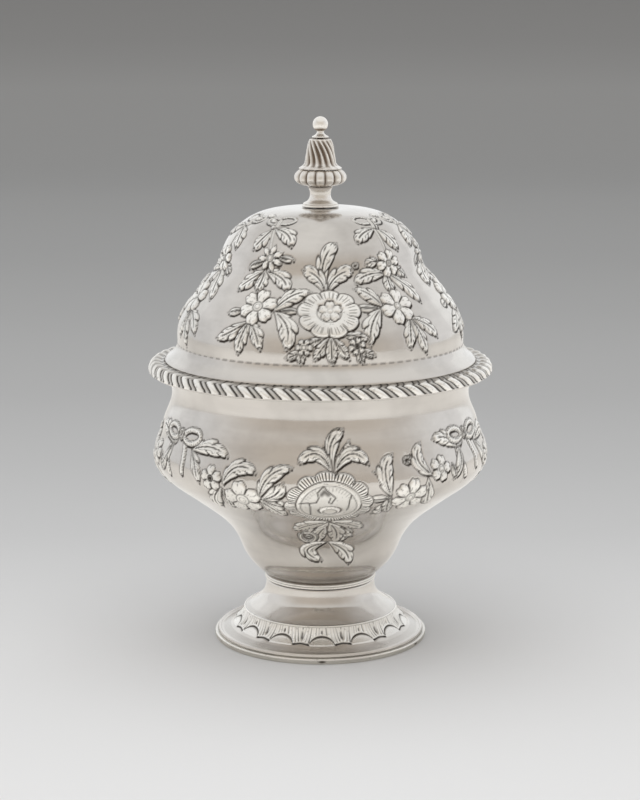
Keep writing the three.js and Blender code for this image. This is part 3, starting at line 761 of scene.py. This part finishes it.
    def rosette(self, place, wide, tall, ruffles, hole, high, flutes, dash=0.9, start=0.02):
        """A ruffled border round an oval field, fluted across with fine dark strokes."""
        spot, right, above = self.near(place, max(wide, tall) * 1.25)
        turn = np.arctan2(above / tall, right / wide)
        scale = np.hypot(right / wide, above / tall)
        mean = (wide + tall) / 2
        part = (ruffles * turn / (2 * np.pi) + 0.3) % 1
        rim = 0.87 + 0.13 * np.sin(np.pi * part) ** 0.55
        depth = (rim - scale) * mean * 0.95
        out = np.clip((scale - hole) / (rim - hole), 0, 1)
        comb = flutes * np.abs(turn) + 1.2 * np.sin(7 * turn) + 0.9 * np.sin(17 * turn)
        ribs = 0.5 + 0.5 * np.cos(comb / 2)
        seam = np.minimum(part, 1 - part) * 2 * np.pi * mean / ruffles
        gap = np.exp(-(seam / 0.3) ** 2) * smooth(0.35, 0.6, out)
        swell = np.sin(np.pi * np.clip(out * 0.8 + 0.12, 0, 1)) ** 0.6
        body = high * (0.4 + 0.6 * swell - 0.16 * ribs * swell - 0.25 * gap)
        ring = np.exp(-((scale - hole) * mean / 0.26) ** 2)
        end = 0.98 - start / 4
        dashes = smooth(start, start + 0.1, out) * smooth(end, end - 0.18, out) * (depth > 0)
        lines = np.clip(0.6 * ring + gap, 0, 1)
        self.lay(spot, depth, body - 0.25 * high * ring, lines)
        self.comb[spot] = np.where(depth > -1, comb, self.comb[spot])
        self.combed[spot] = np.maximum(self.combed[spot], dash * dashes)


def chased_shell(name, before, outer, after, ring, raise_by, count, columns, work):
    """One repeat of a turned shell, fine where it is chased and in plain blocks elsewhere."""
    outer = np.array(outer)
    rows = len(outer) - 1
    arc = np.concatenate([[0], np.cumsum(np.hypot(*np.diff(outer, axis=0).T))])
    travel = np.gradient(outer, axis=0)
    travel /= np.linalg.norm(travel, axis=1, keepdims=True)
    angles = np.linspace(0, 2 * np.pi / count, columns + 1)
    angle, along = np.meshgrid(angles, arc, indexing="ij")
    chasing = Chasing(angle, along, np.broadcast_to(outer[:, 0], angle.shape), 360 / count)
    work(chasing)
    # Painted shade: a point is darkened where raised work stands above and to the left of it, as if
    # lit from the upper left.
    above_left = np.roll(chasing.relief, (SHADE_COLUMNS, -SHADE_ROWS), (0, 1))
    chasing.mark = np.maximum(chasing.mark, np.clip(above_left - chasing.relief, 0, 1))
    radius = outer[:, 0] + chasing.lift * travel[:, 1]
    height = outer[:, 1] - chasing.lift * travel[:, 0]
    across, up = columns // BLOCK, rows // BLOCK
    worked = (np.abs(chasing.lift) > WORKED_LIFT) | (chasing.mark > WORKED_MARK)
    fine = np.zeros((across, up), bool)
    for i in range(BLOCK + 1):
        for j in range(BLOCK + 1):
            fine |= worked[i:i + columns - BLOCK + 1:BLOCK, j:j + rows - BLOCK + 1:BLOCK]
    number = np.arange(angle.size).reshape(angle.shape)
    faces = []
    for i in range(across):
        for j in range(up):
            c, r = i * BLOCK, j * BLOCK
            if fine[i, j]:
                faces += [(number[c + a, r + b], number[c + a + 1, r + b],
                           number[c + a + 1, r + b + 1], number[c + a, r + b + 1])
                          for a in range(BLOCK) for b in range(BLOCK)]
                continue
            below = fine[i, j - 1] if j else False
            above = fine[i, j + 1] if j < up - 1 else False
            left, right = fine[i - 1, j], fine[(i + 1) % across, j]
            side = range(BLOCK)
            face = [number[c + a, r] for a in (side if below else (0,))]
            face += [number[c + BLOCK, r + b] for b in (side if right else (0,))]
            face += [number[c + BLOCK - a, r + BLOCK] for a in (side if above else (0,))]
            face += [number[c, r + BLOCK - b] for b in (side if left else (0,))]
            faces.append(tuple(face))
    points = np.stack([radius * np.cos(angle), radius * np.sin(angle), height], -1).reshape(-1, 3)
    # The dark band low on the bowl is a painted reflection, laid into the marks.
    chasing.mark = np.maximum(chasing.mark, chasing.painted_reflection)
    marks = {mark: getattr(chasing, mark).ravel() for mark in ("mark", "relief", "comb", "combed")}
    plain = np.array(list(after) + list(before))
    coarse = angles[::BLOCK, None]
    rest = np.stack([plain[:, 0] * np.cos(coarse), plain[:, 0] * np.sin(coarse),
                     np.broadcast_to(plain[:, 1], (across + 1, len(plain)))], -1)
    extra = len(points) + np.arange((across + 1) * len(plain)).reshape(across + 1, -1)
    columns_of = np.concatenate([number[::BLOCK, rows:], extra, number[::BLOCK, :1]], 1)
    break_at = None if ring else len(after)
    for i in range(across):
        for j in range(columns_of.shape[1] - 1):
            if j != break_at:
                faces.append((columns_of[i, j], columns_of[i + 1, j],
                              columns_of[i + 1, j + 1], columns_of[i, j + 1]))
    points = np.concatenate([points, rest.reshape(-1, 3)]) + (0, 0, raise_by)
    used = np.unique(np.concatenate([np.array(face) for face in faces]))
    order = np.zeros(len(points), int)
    order[used] = np.arange(len(used))
    bare = np.zeros(len(rest.reshape(-1, 3)))
    return mesh_object(name, points[used], [tuple(order[list(face)].tolist()) for face in faces],
                       {mark: np.concatenate([values, bare])[used] for mark, values in marks.items()})


def evenly(outline, count):
    """The same outline with its points evenly spaced, count steps in all."""
    points = np.array(outline)
    arc = np.concatenate([[0], np.cumsum(np.hypot(*np.diff(points, axis=0).T))])
    even = np.linspace(0, arc[-1], count + 1)
    return np.stack([np.interp(even, arc, points[:, 0]), np.interp(even, arc, points[:, 1])], 1)


def bowl_garlands(work):
    """A bow, and from each side of it a garland that swings down to the middle spray."""
    work.ribbon([(-56, 65), (-54.5, 61.5), (-53.4, 58.0), (-53.6, 54.6)], 2.0, beaded=True)
    work.ribbon([(-61, 64.5), (-64.5, 62), (-65.5, 58.5), (-63, 56), (-62, 53)], 2.0, beaded=True)
    work.leaf((-50.5, 62.2), (-44.5, 52.5), 3.6, 0.10, 2, 0.9)
    work.leaf((-50, 62.3), (-33, 62.2), 4.6, 0.14, 3, 1.1)
    work.leaf((-34.6, 52.5), (-40.6, 41.5), 4.6, -0.16, 2, 0.9)
    work.leaf((-34, 52), (-34.5, 43), 3.0, 0.10, 2, 0.8)
    work.leaf((-33.6, 53.8), (-21.6, 58.2), 4.6, 0.30, 3, 1.2)
    work.leaf((-20.5, 49.5), (-13.4, 40.5), 4.8, 0.08, 3, 1.0)
    work.leaf((-20, 50), (-11.8, 47), 2.8, 0.12, 2, 0.9, plain=True)
    work.leaf((-20, 50), (-12, 56), 4.2, -0.14, 2, 0.9)
    work.leaf((-20.5, 50.4), (-9.3, 60.6), 4.4, 0.18, 3, 1.2)
    work.flower((-38.7, 55), 4.0, 5, 20, 1.0, 1.1, dark=1.0)
    work.flower((-26.9, 49.2), 6.2, 5, 25, 2.1, 1.3)
    work.leaf((57, 62.5), (50, 53), 3.4, 0.10, 2, 0.9)
    work.leaf((55.5, 62.5), (42.5, 66.5), 4.4, -0.14, 3, 1.1)
    work.leaf((50, 58), (51.5, 53), 2.4, 0.0, 2, 0.7)
    work.leaf((38, 55), (44, 43.5), 4.4, -0.10, 2, 0.9)
    work.leaf((39.5, 56), (36.8, 66.4), 4.6, 0.30, 3, 1.2)
    work.loop((30.5, 61.6), 1.2, 0.9, 20, 0.75, 0, 300, False)
    work.leaf((24, 50.5), (19.5, 41), 4.2, 0.10, 2, 0.9)
    work.leaf((23.5, 50.3), (26, 42), 3.4, -0.08, 2, 0.9)
    work.leaf((24, 50), (15.5, 50), 2.6, 0.0, 2, 0.8, plain=True)
    work.leaf((23.5, 51), (17.5, 59), 2.4, -0.22, 2, 0.8, plain=True)
    work.leaf((24, 51), (25.2, 64), 4.8, 0.22, 3, 1.2)
    work.flower((44, 57.3), 4.1, 5, 0, 1.2, 1.1)
    work.flower((31.5, 49.6), 6.0, 6, 20, 1.6, 1.3)
    work.loop((-64.6, 66.4), 3.7, 2.0, -8, 1.7)
    work.loop((-51.6, 66.2), 4.2, 2.2, 8, 1.7)
    work.loop((-58.3, 66.2), 1.0, 1.2, 0, 1.4, 0, 360, False)


def bowl_spray(work):
    """The middle spray: scrolled leaves over an oval with a fluted border, foliage under it."""
    work.leaf((3.5, 36), (11, 21), 8.0, 0.10, 4, 0.7)
    work.leaf((3.5, 36), (-6, 24.5), 7.0, -0.10, 4, 0.7)
    work.leaf((4.5, 36), (20.7, 29.5), 5.0, 0.10, 4, 0.8)
    work.leaf((4.5, 34), (18.4, 24), 4.6, -0.10, 3, 0.8)
    work.leaf((4, 35), (8, 20.5), 5.0, 0.10, 3, 0.8)
    work.leaf((3, 36), (-12.8, 28.5), 5.6, -0.12, 4, 0.9)
    work.leaf((2.5, 32), (-1, 20.5), 4.6, -0.10, 3, 0.8)
    work.loop((-6.8, 24.2), 2.4, 2.9, 0, 1.7, -210, 110, False)
    work.loop((-6.4, 24.0), 0.7, 0.8, 0, 0.9, 0, 360, False)
    work.leaf((4.8, 21), (20.6, 10.6), 5.0, 0.16, 3, 1.0)
    work.leaf((3.4, 21), (1.2, 12.6), 4.4, -0.62, 3, 1.0)
    work.leaf((4.6, 60), (10.0, 69.0), 2.6, -0.06, 2, 1.0)
    work.leaf((4.4, 59.3), (8.2, 72.6), 3.9, 0.20, 2, 1.2, 0.62)
    work.leaf((4.8, 59.5), (16.3, 61.4), 4.0, 0.42, 3, 1.2, 0.56)
    work.leaf((3.6, 59.5), (-7.4, 62.0), 4.0, -0.42, 3, 1.2, 0.56)
    work.rosette((2.9, 48.4), 13.7, 11.4, 12, 0.72, 1.0, 80)
    spot, right, above = work.near(OVAL_MIDDLE, 13)
    scale = np.hypot(right / OVAL_SIZE[0], above / OVAL_SIZE[1])
    moulding = 0.3 * np.exp(-((scale - 0.93) / 0.04) ** 2)
    sunk = 0.6 * np.exp(-((scale - 0.86) / 0.025) ** 2)
    work.lay(spot, (1 - scale) * 9, 0.85 + moulding, sunk + 0.16 * (scale < 0.86), 0.5)
    for turn in range(25, 160, 8):
        c, s = math.cos(math.radians(turn)), math.sin(math.radians(turn))
        work.line([(OVAL_MIDDLE[0] + 7.4 * c, OVAL_MIDDLE[1] + 5.6 * s),
                   (OVAL_MIDDLE[0] + 8.7 * c, OVAL_MIDDLE[1] + 6.7 * s)], 0.2, 0.5)
    work.line([(-7.0, 49.3), (-3.9, 49.6), (-3.4, 47.9), (-3.5, 42.9)])
    work.line([(-1.0, 53.1), (-0.5, 51.6), (-1.3, 49.8), (-3.6, 49.4)])
    work.line([(-1.0, 53.1), (1.0, 55.3), (2.2, 53.9), (5.0, 51.6), (3.9, 49.8)])
    work.line([(10.1, 52.2), (9.7, 50.5), (9.3, 45.6)])
    work.line([(3.4, 51.6), (2.7, 49.8), (3.9, 49.2)], 0.22)
    work.line([(0.4, 52.6), (1.3, 53.6), (2.6, 52.6)], 0.8, 0.8)
    spot, right, above = work.near((3.3, 45.4), 5)
    away = np.hypot(right / 3.3, above / 2.4)
    work.lay(spot, (1 - away) * 2.8, 1.35 - 0.55 * smooth(0.75, 0.45, away),
             0.7 * np.exp(-((away - 0.62) / 0.1) ** 2))


def bowl_chasing(work):
    """All of the bowl's chased work, and a painted dark reflection low down by the joint."""
    bowl_garlands(work)
    bowl_spray(work)
    # Painted reflection: a dark band on the bowl within about 4.9 mm of the joint wire.
    work.painted_reflection = BOWL_PAINTED_REFLECTION * smooth(PAINTED_REFLECTION_TOP, PAINTED_REFLECTION_TOP - 0.7, work.arc)


bowl_outer = evenly(flow(BOWL_WALL), BOWL_ROWS)
rim_inner = BOWL_RIM_RADIUS - BOWL_SHEET
bowl_rim = rounded([(BOWL_RIM_RADIUS, BOWL_RIM_HEIGHT - 1), (BOWL_RIM_RADIUS, BOWL_RIM_HEIGHT),
                    (rim_inner, BOWL_RIM_HEIGHT), (rim_inner, BOWL_RIM_HEIGHT - 1)], 0.25, 3)[4:-4]
bowl_inside = inset(flow(BOWL_WALL, 1.6), BOWL_SHEET)[::-1]
bowl = set_round(chased_shell(
    "bowl", BOWL_BASE, bowl_outer, [*bowl_rim, *bowl_inside, *BOWL_FLOOR], False, seat("bowl_shell"),
    BOWL_REPEATS, BOWL_COLUMNS, bowl_chasing), BOWL_REPEATS, chased_silver)
fit(bowl, "bowl", "polished_silver", "bowl_shell")

# Rope border. A cast strip of slanting strands is bent round the rim and soldered to it.
# Each strand is a broad bright ridge beside a dark hollow with a thin bead in it. The strands
# slant one way over the outside and turn back near the lid.
STRAND_COUNT = 58
STRAND_TURN = 0.4
INNER_SLANT = 0.8
OUTER_SLANT = 1.0
STRAND_DEPTH = 0.62
ROPE_CENTRE = (52.6, 1.4)
ROPE_REACH = 2.71
ROPE_HEIGHT = 2.75
ROPE_START = -15
ROPE_END = 125
ROPE_STEPS = 30
BORDER_INNER = 50.1
LEDGE_RISE = 0.28
BORDER_LIP = (54.4, 0.5)
RIDGE_MIDDLE = 0.25
RIDGE_HALF = 0.24
BEAD_MIDDLE = 0.75
BEAD_HALF = 0.09
STRAND_COLUMNS = 20


def rope_strands(angle, radius, height):
    """Sinks the strip between its strands, and darkens it there and where they turn back."""
    right = (radius - ROPE_CENTRE[0]) / ROPE_REACH
    above = (height - ROPE_CENTRE[1]) / ROPE_HEIGHT
    turn = np.degrees(np.arctan2(above, right))
    travelled = (ROPE_END - turn) / (ROPE_END - ROPE_START)
    rope = (np.hypot(right, above) > 0.98) & (turn > ROPE_START - 1) & (turn < ROPE_END + 15)
    ends = smooth(-0.02, 0.12, travelled) * smooth(1.02, 0.9, travelled)
    slant = np.where(travelled > STRAND_TURN, OUTER_SLANT, INNER_SLANT)
    phase = (STRAND_COUNT * angle / (2 * np.pi) - slant * np.abs(travelled - STRAND_TURN)) % 1
    ridge = np.sqrt(np.clip(1 - ((phase - RIDGE_MIDDLE) / RIDGE_HALF) ** 2, 0, 1))
    bead_on = np.exp(-((phase - BEAD_MIDDLE) / BEAD_HALF) ** 2)
    lift = (np.maximum(ridge, 0.6 * bead_on) - 1) * STRAND_DEPTH * rope * ends
    lines = np.exp(-((phase - 0.54) / 0.065) ** 2) + np.exp(-((phase - 0.96) / 0.06) ** 2)
    hollow = smooth(0.48, 0.56, phase) * smooth(1.0, 0.94, phase)
    inner = smooth(STRAND_TURN + 0.04, STRAND_TURN - 0.04, travelled)
    mark = (0.95 * lines + hollow * (0.6 - 0.4 * bead_on)) * (1 - 0.4 * inner) + 0.22 * inner
    mark = np.clip(mark, 0, 1) * rope
    return (radius + lift * right, height + lift * above,
            {"mark": mark, "relief": rope * (0.95 - 0.4 * hollow) * (1 - 0.5 * inner)})


rope_outline = [(BORDER_INNER, 0.0), (BORDER_LIP[0] - 0.15, 0.0), (BORDER_LIP[0], 0.15), BORDER_LIP]
for i in range(ROPE_STEPS + 1):
    turn = math.radians(ROPE_START + (ROPE_END - ROPE_START) * i / ROPE_STEPS)
    rope_outline.append((ROPE_CENTRE[0] + ROPE_REACH * math.cos(turn),
                         ROPE_CENTRE[1] + ROPE_HEIGHT * math.sin(turn)))
rope_outline.append((BORDER_INNER, rope_outline[-1][1] + LEDGE_RISE))
border = set_round(sector("rope_border", rope_outline, seat("rim_border"), STRAND_COUNT,
                          STRAND_COLUMNS, rope_strands), STRAND_COUNT, chased_silver)
fit(border, "bowl", "cast_silver", "rim_border")

# Lid. It is raised from one sheet, with a sloping flange, two bellies and a hole in its crown.
# The chased work is a ruffled rose under three leaves, three times round, and six drops of
# flowers and leaves that hang from bows. A fine line of punched dashes runs round its foot.
LID_SHEET = 0.85
LID_TOP = 48.9
LID_WALL = ((50.0, 0.8, 145), (45.9, 5.9, 95), (45.9, 8.3, 90), (37.5, 24.9, 124),
            (32.1, 32.3, 101), (26.3, 43.0, 137), (0.0, LID_TOP, 180))
LID_BORE = 1.8
LID_COLUMNS = 784
LID_ROWS = 208
LID_EDGE = ((49.3, 0.0), (49.8, 0.0), (50.0, 0.2))
ROSES = (3.8, 123.8, 243.8)
LEFT_DROPS = (-28.5, 82.0, 206.0)
RIGHT_DROPS = (36.5, 162.0, 285.5)
DASH_COUNT = 96
DASH_ARC = 6.7
DASH_HALF = 0.28
DASH_DEPTH = 0.08
DASH_DARK = 0.7


def lid_rose(work, at):
    work.leaf((at - 2, 15.5), (at - 13, 12.5), 2.6, 0.06, 3, 0.8)
    work.leaf((at + 5, 15.8), (at + 15.5, 14.2), 2.8, 0.05, 3, 0.8)
    for tip, width in ((at - 6.4, 3.0), (at + 7.2, 3.0), (at + 0.6, 3.2)):
        work.leaf((at + 0.3, 15.5), (tip, 8.4 if width < 3.2 else 6.9), width, 0.0, 4, 0.9)
    work.leaf((at - 10, 11.5), (at - 17.2, 8.8), 2.4, 0.05, 2, 0.8)
    work.leaf((at - 10.5, 11), (at - 11.7, 6.9), 2.3, 0.0, 2, 0.8)
    work.leaf((at + 11.2, 11.0), (at + 12.0, 7.0), 2.3, 0.0, 2, 0.8)
    work.leaf((at + 11, 11.5), (at + 17.6, 9.4), 2.4, -0.05, 2, 0.8)
    work.flower((at - 10, 12.2), 2.5, 6, 0, 0.7, 1.0)
    work.flower((at + 10.2, 12.4), 2.6, 6, 15, 0.8, 1.1, dark=0.9)
    work.loop((at + 15.8, 39.2), 0.9, 0.6, 20, 0.6, 0, 320, False)
    work.leaf((at - 1.0, 30), (at + 6.0, 46.6), 4.2, 0.16, 3, 1.2, 0.7)
    work.leaf((at - 0.8, 29.5), (at + 14.4, 37.8), 4.4, 0.20, 3, 1.2, 0.66)
    work.leaf((at - 1.6, 29.5), (at - 13.6, 38.0), 4.4, -0.20, 3, 1.2, 0.66)
    work.rosette((at, 23.0), 9.8, 8.1, 9, 0.38, 1.3, 37, 0.5, 0.32)
    work.flower((at + 0.4, 23.8), 3.5, 5, 18, 0.8, 1.4, outline=0.5)


def lid_left_drop(work, at):
    work.loop((at - 0.5, 56.2), 2.9, 2.0, 12, 1.0, beaded=False, dark=0.35)
    work.loop((at - 12.5, 55.4), 2.4, 1.7, 160, 1.0, beaded=False, dark=0.35)
    work.ribbon([(at - 6.5, 56.0), (at - 5.5, 53.5), (at - 5, 51.5)], 1.2, dark=0.4)
    work.leaf((at - 6.5, 51.4), (at - 15, 43.4), 4.6, 0.04, 3, 1.0)
    work.leaf((at - 6, 51.6), (at + 11, 45.0), 4.4, 0.16, 3, 1.0)
    work.ribbon([(at - 5.5, 51), (at - 3.5, 47), (at - 1.8, 43)], 0.7, dark=0.4)
    work.leaf((at + 3.5, 41.6), (at + 14, 41.0), 1.8, 0.0, 2, 0.7, plain=True)
    work.leaf((at - 4.5, 39.8), (at - 15, 37.4), 1.8, -0.08, 2, 0.7, plain=True)
    work.leaf((at - 3.4, 37.2), (at - 15, 29.4), 4.8, -0.06, 3, 1.1)
    work.leaf((at - 3.0, 37.2), (at + 12, 30.4), 4.4, 0.16, 3, 1.1)
    work.leaf((at - 3.2, 37.4), (at - 3.4, 29.6), 4.0, 0.0, 3, 1.1)
    work.flower((at - 0.8, 41.2), 4.6, 7, 80, 1.1, 1.2, sharp=True)
    work.leaf((at - 7, 23), (at - 14.6, 21.6), 2.4, 0.0, 2, 0.8, plain=True)
    work.leaf((at + 9.5, 23.4), (at + 19.5, 23.6), 1.9, 0.05, 2, 0.8, plain=True)
    work.leaf((at + 8, 23.4), (at + 24, 30.4), 4.8, 0.14, 3, 1.2)
    work.leaf((at + 8.5, 23.2), (at + 15.2, 11.2), 5.4, 0.20, 3, 1.2)
    work.leaf((at - 1.8, 19.6), (at - 16, 13.0), 3.9, 0.06, 3, 1.0)
    work.leaf((at - 1.6, 19.6), (at + 4.9, 10.7), 3.9, 0.08, 3, 1.0)
    work.leaf((at - 1.8, 19.6), (at - 5.0, 9.0), 3.8, 0.0, 3, 1.1)
    work.flower((at, 24.5), 6.0, 6, 20, 1.6, 1.5)


def lid_right_drop(work, at):
    work.loop((at + 0.5, 56.2), 2.9, 2.0, -10, 1.0, beaded=False, dark=0.35)
    work.loop((at + 14.0, 55.4), 2.4, 1.7, 15, 1.0, beaded=False, dark=0.35)
    work.ribbon([(at + 8, 56.0), (at + 7, 53.5), (at + 5.5, 51.5)], 1.2, dark=0.4)
    work.leaf((at + 6.5, 51), (at + 14.8, 42.7), 4.6, 0.08, 3, 1.0)
    work.leaf((at + 4.5, 51.5), (at - 13.6, 46.3), 3.9, -0.10, 3, 1.0)
    work.ribbon([(at + 5, 51), (at + 5, 47), (at + 4.8, 43)], 0.7, dark=0.4)
    work.leaf((at - 2, 40.2), (at - 11, 39.1), 2.8, -0.08, 2, 0.8)
    work.leaf((at + 8.5, 37.8), (at + 16, 34.3), 2.8, 0.05, 2, 0.8)
    work.leaf((at + 3, 36), (at + 14.7, 24.4), 4.4, 0.07, 3, 1.1)
    work.leaf((at + 1.5, 36), (at - 18.2, 33.1), 4.0, -0.14, 3, 1.1)
    work.leaf((at + 2, 36.4), (at - 0.5, 28.5), 3.4, 0.0, 3, 1.0)
    work.flower((at + 4.5, 39.2), 4.3, 6, 10, 1.0, 1.3, dark=0.5)
    work.leaf((at - 9.5, 24.3), (at - 21.5, 24.8), 2.4, 0.0, 2, 0.8, plain=True)
    work.leaf((at - 8, 24.8), (at - 20, 31.3), 4.4, -0.10, 3, 1.1)
    work.leaf((at - 9, 24), (at - 17.2, 12.3), 5.0, -0.12, 3, 1.2)
    work.leaf((at + 3.6, 19.8), (at + 15.8, 12.5), 4.0, 0.10, 3, 1.0)
    work.leaf((at + 3.5, 19.8), (at + 0.3, 10.2), 4.0, -0.06, 3, 1.0)
    work.leaf((at + 3.6, 19.6), (at + 8.8, 8.0), 3.6, 0.0, 3, 1.1)
    work.flower((at - 0.5, 24.3), 5.9, 6, 15, 1.2, 1.5)


def lid_chasing(work):
    """Ribbons between neighbouring drops, the drops, the roses and the line of dashes."""
    for right, left in zip(RIGHT_DROPS, (*LEFT_DROPS[1:], LEFT_DROPS[0] + 360)):
        middle = (right + left) / 2
        work.ribbon([(right + 7, 52.2), (right + 14, 56), (middle, 58.4), (left - 14, 56),
                     (left - 7, 52.2)], 1.7, beaded=True, dark=0.6)
    for at in LEFT_DROPS:
        lid_left_drop(work, at)
    for at in RIGHT_DROPS:
        lid_right_drop(work, at)
    for at in ROSES:
        lid_rose(work, at)
    swing = np.abs((work.degrees * DASH_COUNT / 360) % 1 - 0.5) * 2
    dash = smooth(0.75, 0.55, swing) * np.exp(-((work.arc - DASH_ARC) / DASH_HALF) ** 2)
    work.lift -= DASH_DEPTH * dash
    work.mark = np.maximum(work.mark, np.where(dash > 0.05, DASH_DARK * dash, 0))


lid_outer = [point for point in flow(LID_WALL) if point[0] > LID_BORE] + [(LID_BORE, LID_TOP)]
lid_inside = [point for point in inset(flow(LID_WALL, 1.4), LID_SHEET)
              if point[1] > 0.1 and point[0] > LID_BORE]
lid = set_round(chased_shell(
    "lid", LID_EDGE, evenly(lid_outer, LID_ROWS), [(LID_BORE, LID_TOP - LID_SHEET), *lid_inside[::-1]],
    True, seat("lid_dome"), 1, LID_COLUMNS, lid_chasing), 1, chased_silver)
fit(lid, "lid", "polished_silver", "lid_dome")

# Bezel. A plain strip soldered inside the lid drops into the neck of the bowl and keeps the
# lid in its place.
BEZEL_OUTER = 46.35
BEZEL_THICKNESS = 0.8
BEZEL_ROUND = 0.2
bezel_low, bezel_high = (corner.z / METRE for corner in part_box("lid_bezel"))
bezel_inner = BEZEL_OUTER - BEZEL_THICKNESS
bezel_deep = bezel_high - bezel_low
bezel_outline = rounded([(bezel_inner, 0), (BEZEL_OUTER, 0), (BEZEL_OUTER, bezel_deep),
                         (bezel_inner, bezel_deep)], BEZEL_ROUND)
bezel = set_round(sector("bezel", bezel_outline, bezel_low, 8, 24), 8, plain_silver)
fit(bezel, "lid", "plain_silver", "lid_bezel")

# Pedestal. The finial's waisted foot is cast and turned, with a stepped base on the crown.
# It is threaded on the stud that holds the whole finial. Its top has painted shade under the belt.
cast_silver = silver("cast_silver", (0.74, 0.70, 0.655), (0.17, 0.125, 0.09), 0.17, 0.2)
STUD_BORE = 1.8
PEDESTAL_TOP = 6.2
pedestal_outline = [(STUD_BORE, 0.0), (5.85, 0.0), (6.0, 0.12), (5.72, 0.52), (5.6, 0.58)]
pedestal_outline += [(5.35, 0.62), *bead((5.25, 0.86), 0.24, -60, 90, 6)]
pedestal_outline += flow(((4.2, 1.7, 140), (3.3, 3.9, 90), (4.0, PEDESTAL_TOP, 55)), 0.25)
pedestal_outline.append((STUD_BORE, PEDESTAL_TOP))


def pedestal_shade_and_wear(angle, radius, height):
    # Painted shade at the top under the belt, and more polish towards the base.
    return radius, height, {"mark": 0.5 * smooth(5.5, 6.0, height),
                            "relief": 0.4 + 0.5 * smooth(1.3, 1.0, height)}


pedestal = set_round(sector("pedestal", pedestal_outline, seat("finial_pedestal"), 8, 10,
                            pedestal_shade_and_wear), 8, cast_silver)
fit(pedestal, "lid", "cast_silver", "finial_pedestal")

# Belt. A cast ring of fifteen plump lobes is threaded on the stud above the pedestal.
# The grooves between the lobes are dark, and the lobes are bright.
LOBE_COUNT = 15
LOBE_GROOVE = 0.95
BELT_SIDE = ((4.4, 0.0, 12), (8.35, 2.6, 90), (6.6, 5.1, 150))


def belt_lobes(angle, radius, height):
    out = np.clip((radius - BELT_SIDE[0][0]) / (BELT_SIDE[1][0] - BELT_SIDE[0][0]), 0, 1)
    swing = np.abs(np.cos(LOBE_COUNT * (angle + np.pi / 2) / 2))
    groove = 1 - swing ** 0.8
    return (radius - LOBE_GROOVE * out * groove, height,
            {"mark": np.clip(1.3 * out ** 0.5 * groove ** 1.7, 0, 1), "relief": 0.6 * out})


belt_outline = [(STUD_BORE, 0.0), *flow(BELT_SIDE, 0.25), (STUD_BORE, BELT_SIDE[-1][1])]
belt = set_round(sector("belt", belt_outline, seat("finial_belt"), LOBE_COUNT, 18, belt_lobes),
                 LOBE_COUNT, cast_silver)
fit(belt, "lid", "cast_silver", "finial_belt")

# Bell. A cast bell with fourteen flutes that twist as they rise and end in a round foot.
# The ridges between them are bright, and the flutes are brown inside. Its top under the ball's collar
# has painted shade.
FLUTE_COUNT = 14
FLUTE_TWIST = 42
FLUTE_DEPTH = 0.85
FLUTE_START = 0.9
FLUTE_END = 9.1
CAP_FOOT = FLUTE_END + 0.2
# How dark the painted shade is on the bell's top under the ball's collar.
CAP_PAINTED_SHADE = 0.8
BELL_SIDE = ((6.8, 0.3, 150), (5.0, 2.1, 98), (4.1, 7.7, 104), (2.9, 9.5, 165))


def bell_flutes(angle, radius, height):
    along = np.clip((height - FLUTE_START) / (FLUTE_END - FLUTE_START), 0, 1)
    outside = radius > STUD_BORE + 0.35
    phase = FLUTE_COUNT * (angle + math.radians(FLUTE_TWIST) * along ** 2) / (2 * np.pi)
    trough = 0.5 - 0.5 * np.cos(2 * np.pi * phase)
    groove = trough ** 0.55
    ends = np.clip(np.sin(np.pi * along), 0, 1) ** 0.25 * outside
    depth = FLUTE_DEPTH * ends * groove
    # Above the flutes the bell's top takes painted shade under the ball's collar.
    return (radius - depth, height,
            {"mark": np.maximum(np.clip(1.3 * ends * trough, 0, 1), CAP_PAINTED_SHADE * (height > CAP_FOOT)),
             "relief": 0.9 * outside * (1 - trough)})


bell_outline = [(STUD_BORE, 0.0), (6.65, 0.0), (6.8, 0.15), *flow(BELL_SIDE, 0.22),
                (1.1, 9.5), (1.1, 7.0), (STUD_BORE, 3.5)]
bell = set_round(sector("bell", bell_outline, seat("finial_bell"), FLUTE_COUNT, 20, bell_flutes),
                 FLUTE_COUNT, cast_silver)
fit(bell, "lid", "cast_silver", "finial_bell")

# Ball. It is turned in one with its neck and collar, and a pin under the collar goes into the
# top of the bell. The ball's underside has painted shade round the neck, and its top is worn bright.
BALL_RADIUS = 2.42
BALL_RISE = 4.2
BALL_PIN = 2.5
BALL_CUT = -63.7
DARK_DROP = 1.75
DARK_HALF = 0.42

ball_outline = [(0.0, 0.0), (0.8, 0.0), (0.8, BALL_PIN), (2.55, BALL_PIN), (2.7, BALL_PIN + 0.15),
                (2.55, BALL_PIN + 0.4)]
ball_outline += flow(((2.3, BALL_PIN + 0.5, 150), (1.15, BALL_PIN + 1.8, 80)), 0.2)
ball_outline += bead((0.0, BALL_PIN + BALL_RISE), BALL_RADIUS, BALL_CUT, 90, 28)[:-1]
ball_outline.append((0.0, BALL_PIN + BALL_RISE + BALL_RADIUS))


def ball_shade_and_wear(angle, radius, height):
    # Painted shade: a dark band on the underside round the neck.
    low = np.exp(-((height - BALL_PIN - BALL_RISE + DARK_DROP) / DARK_HALF) ** 2)
    return radius, height, {"mark": low, "relief": 0.7 * (1 - low)}


ball = set_round(sector("ball", ball_outline, seat("finial_ball"), 8, 8, ball_shade_and_wear), 8, cast_silver)
fit(ball, "lid", "cast_silver", "finial_ball")

# Stud, washer and nut. Plain turned and filed silver inside the lid, which hold the finial.
# Their solids are right as they are, and take the plain finish.
for node in ("finial_stud", "finial_washer", "finial_nut"):
    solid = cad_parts[node]
    solid.data.materials.clear()
    solid.data.materials.append(plain_silver)
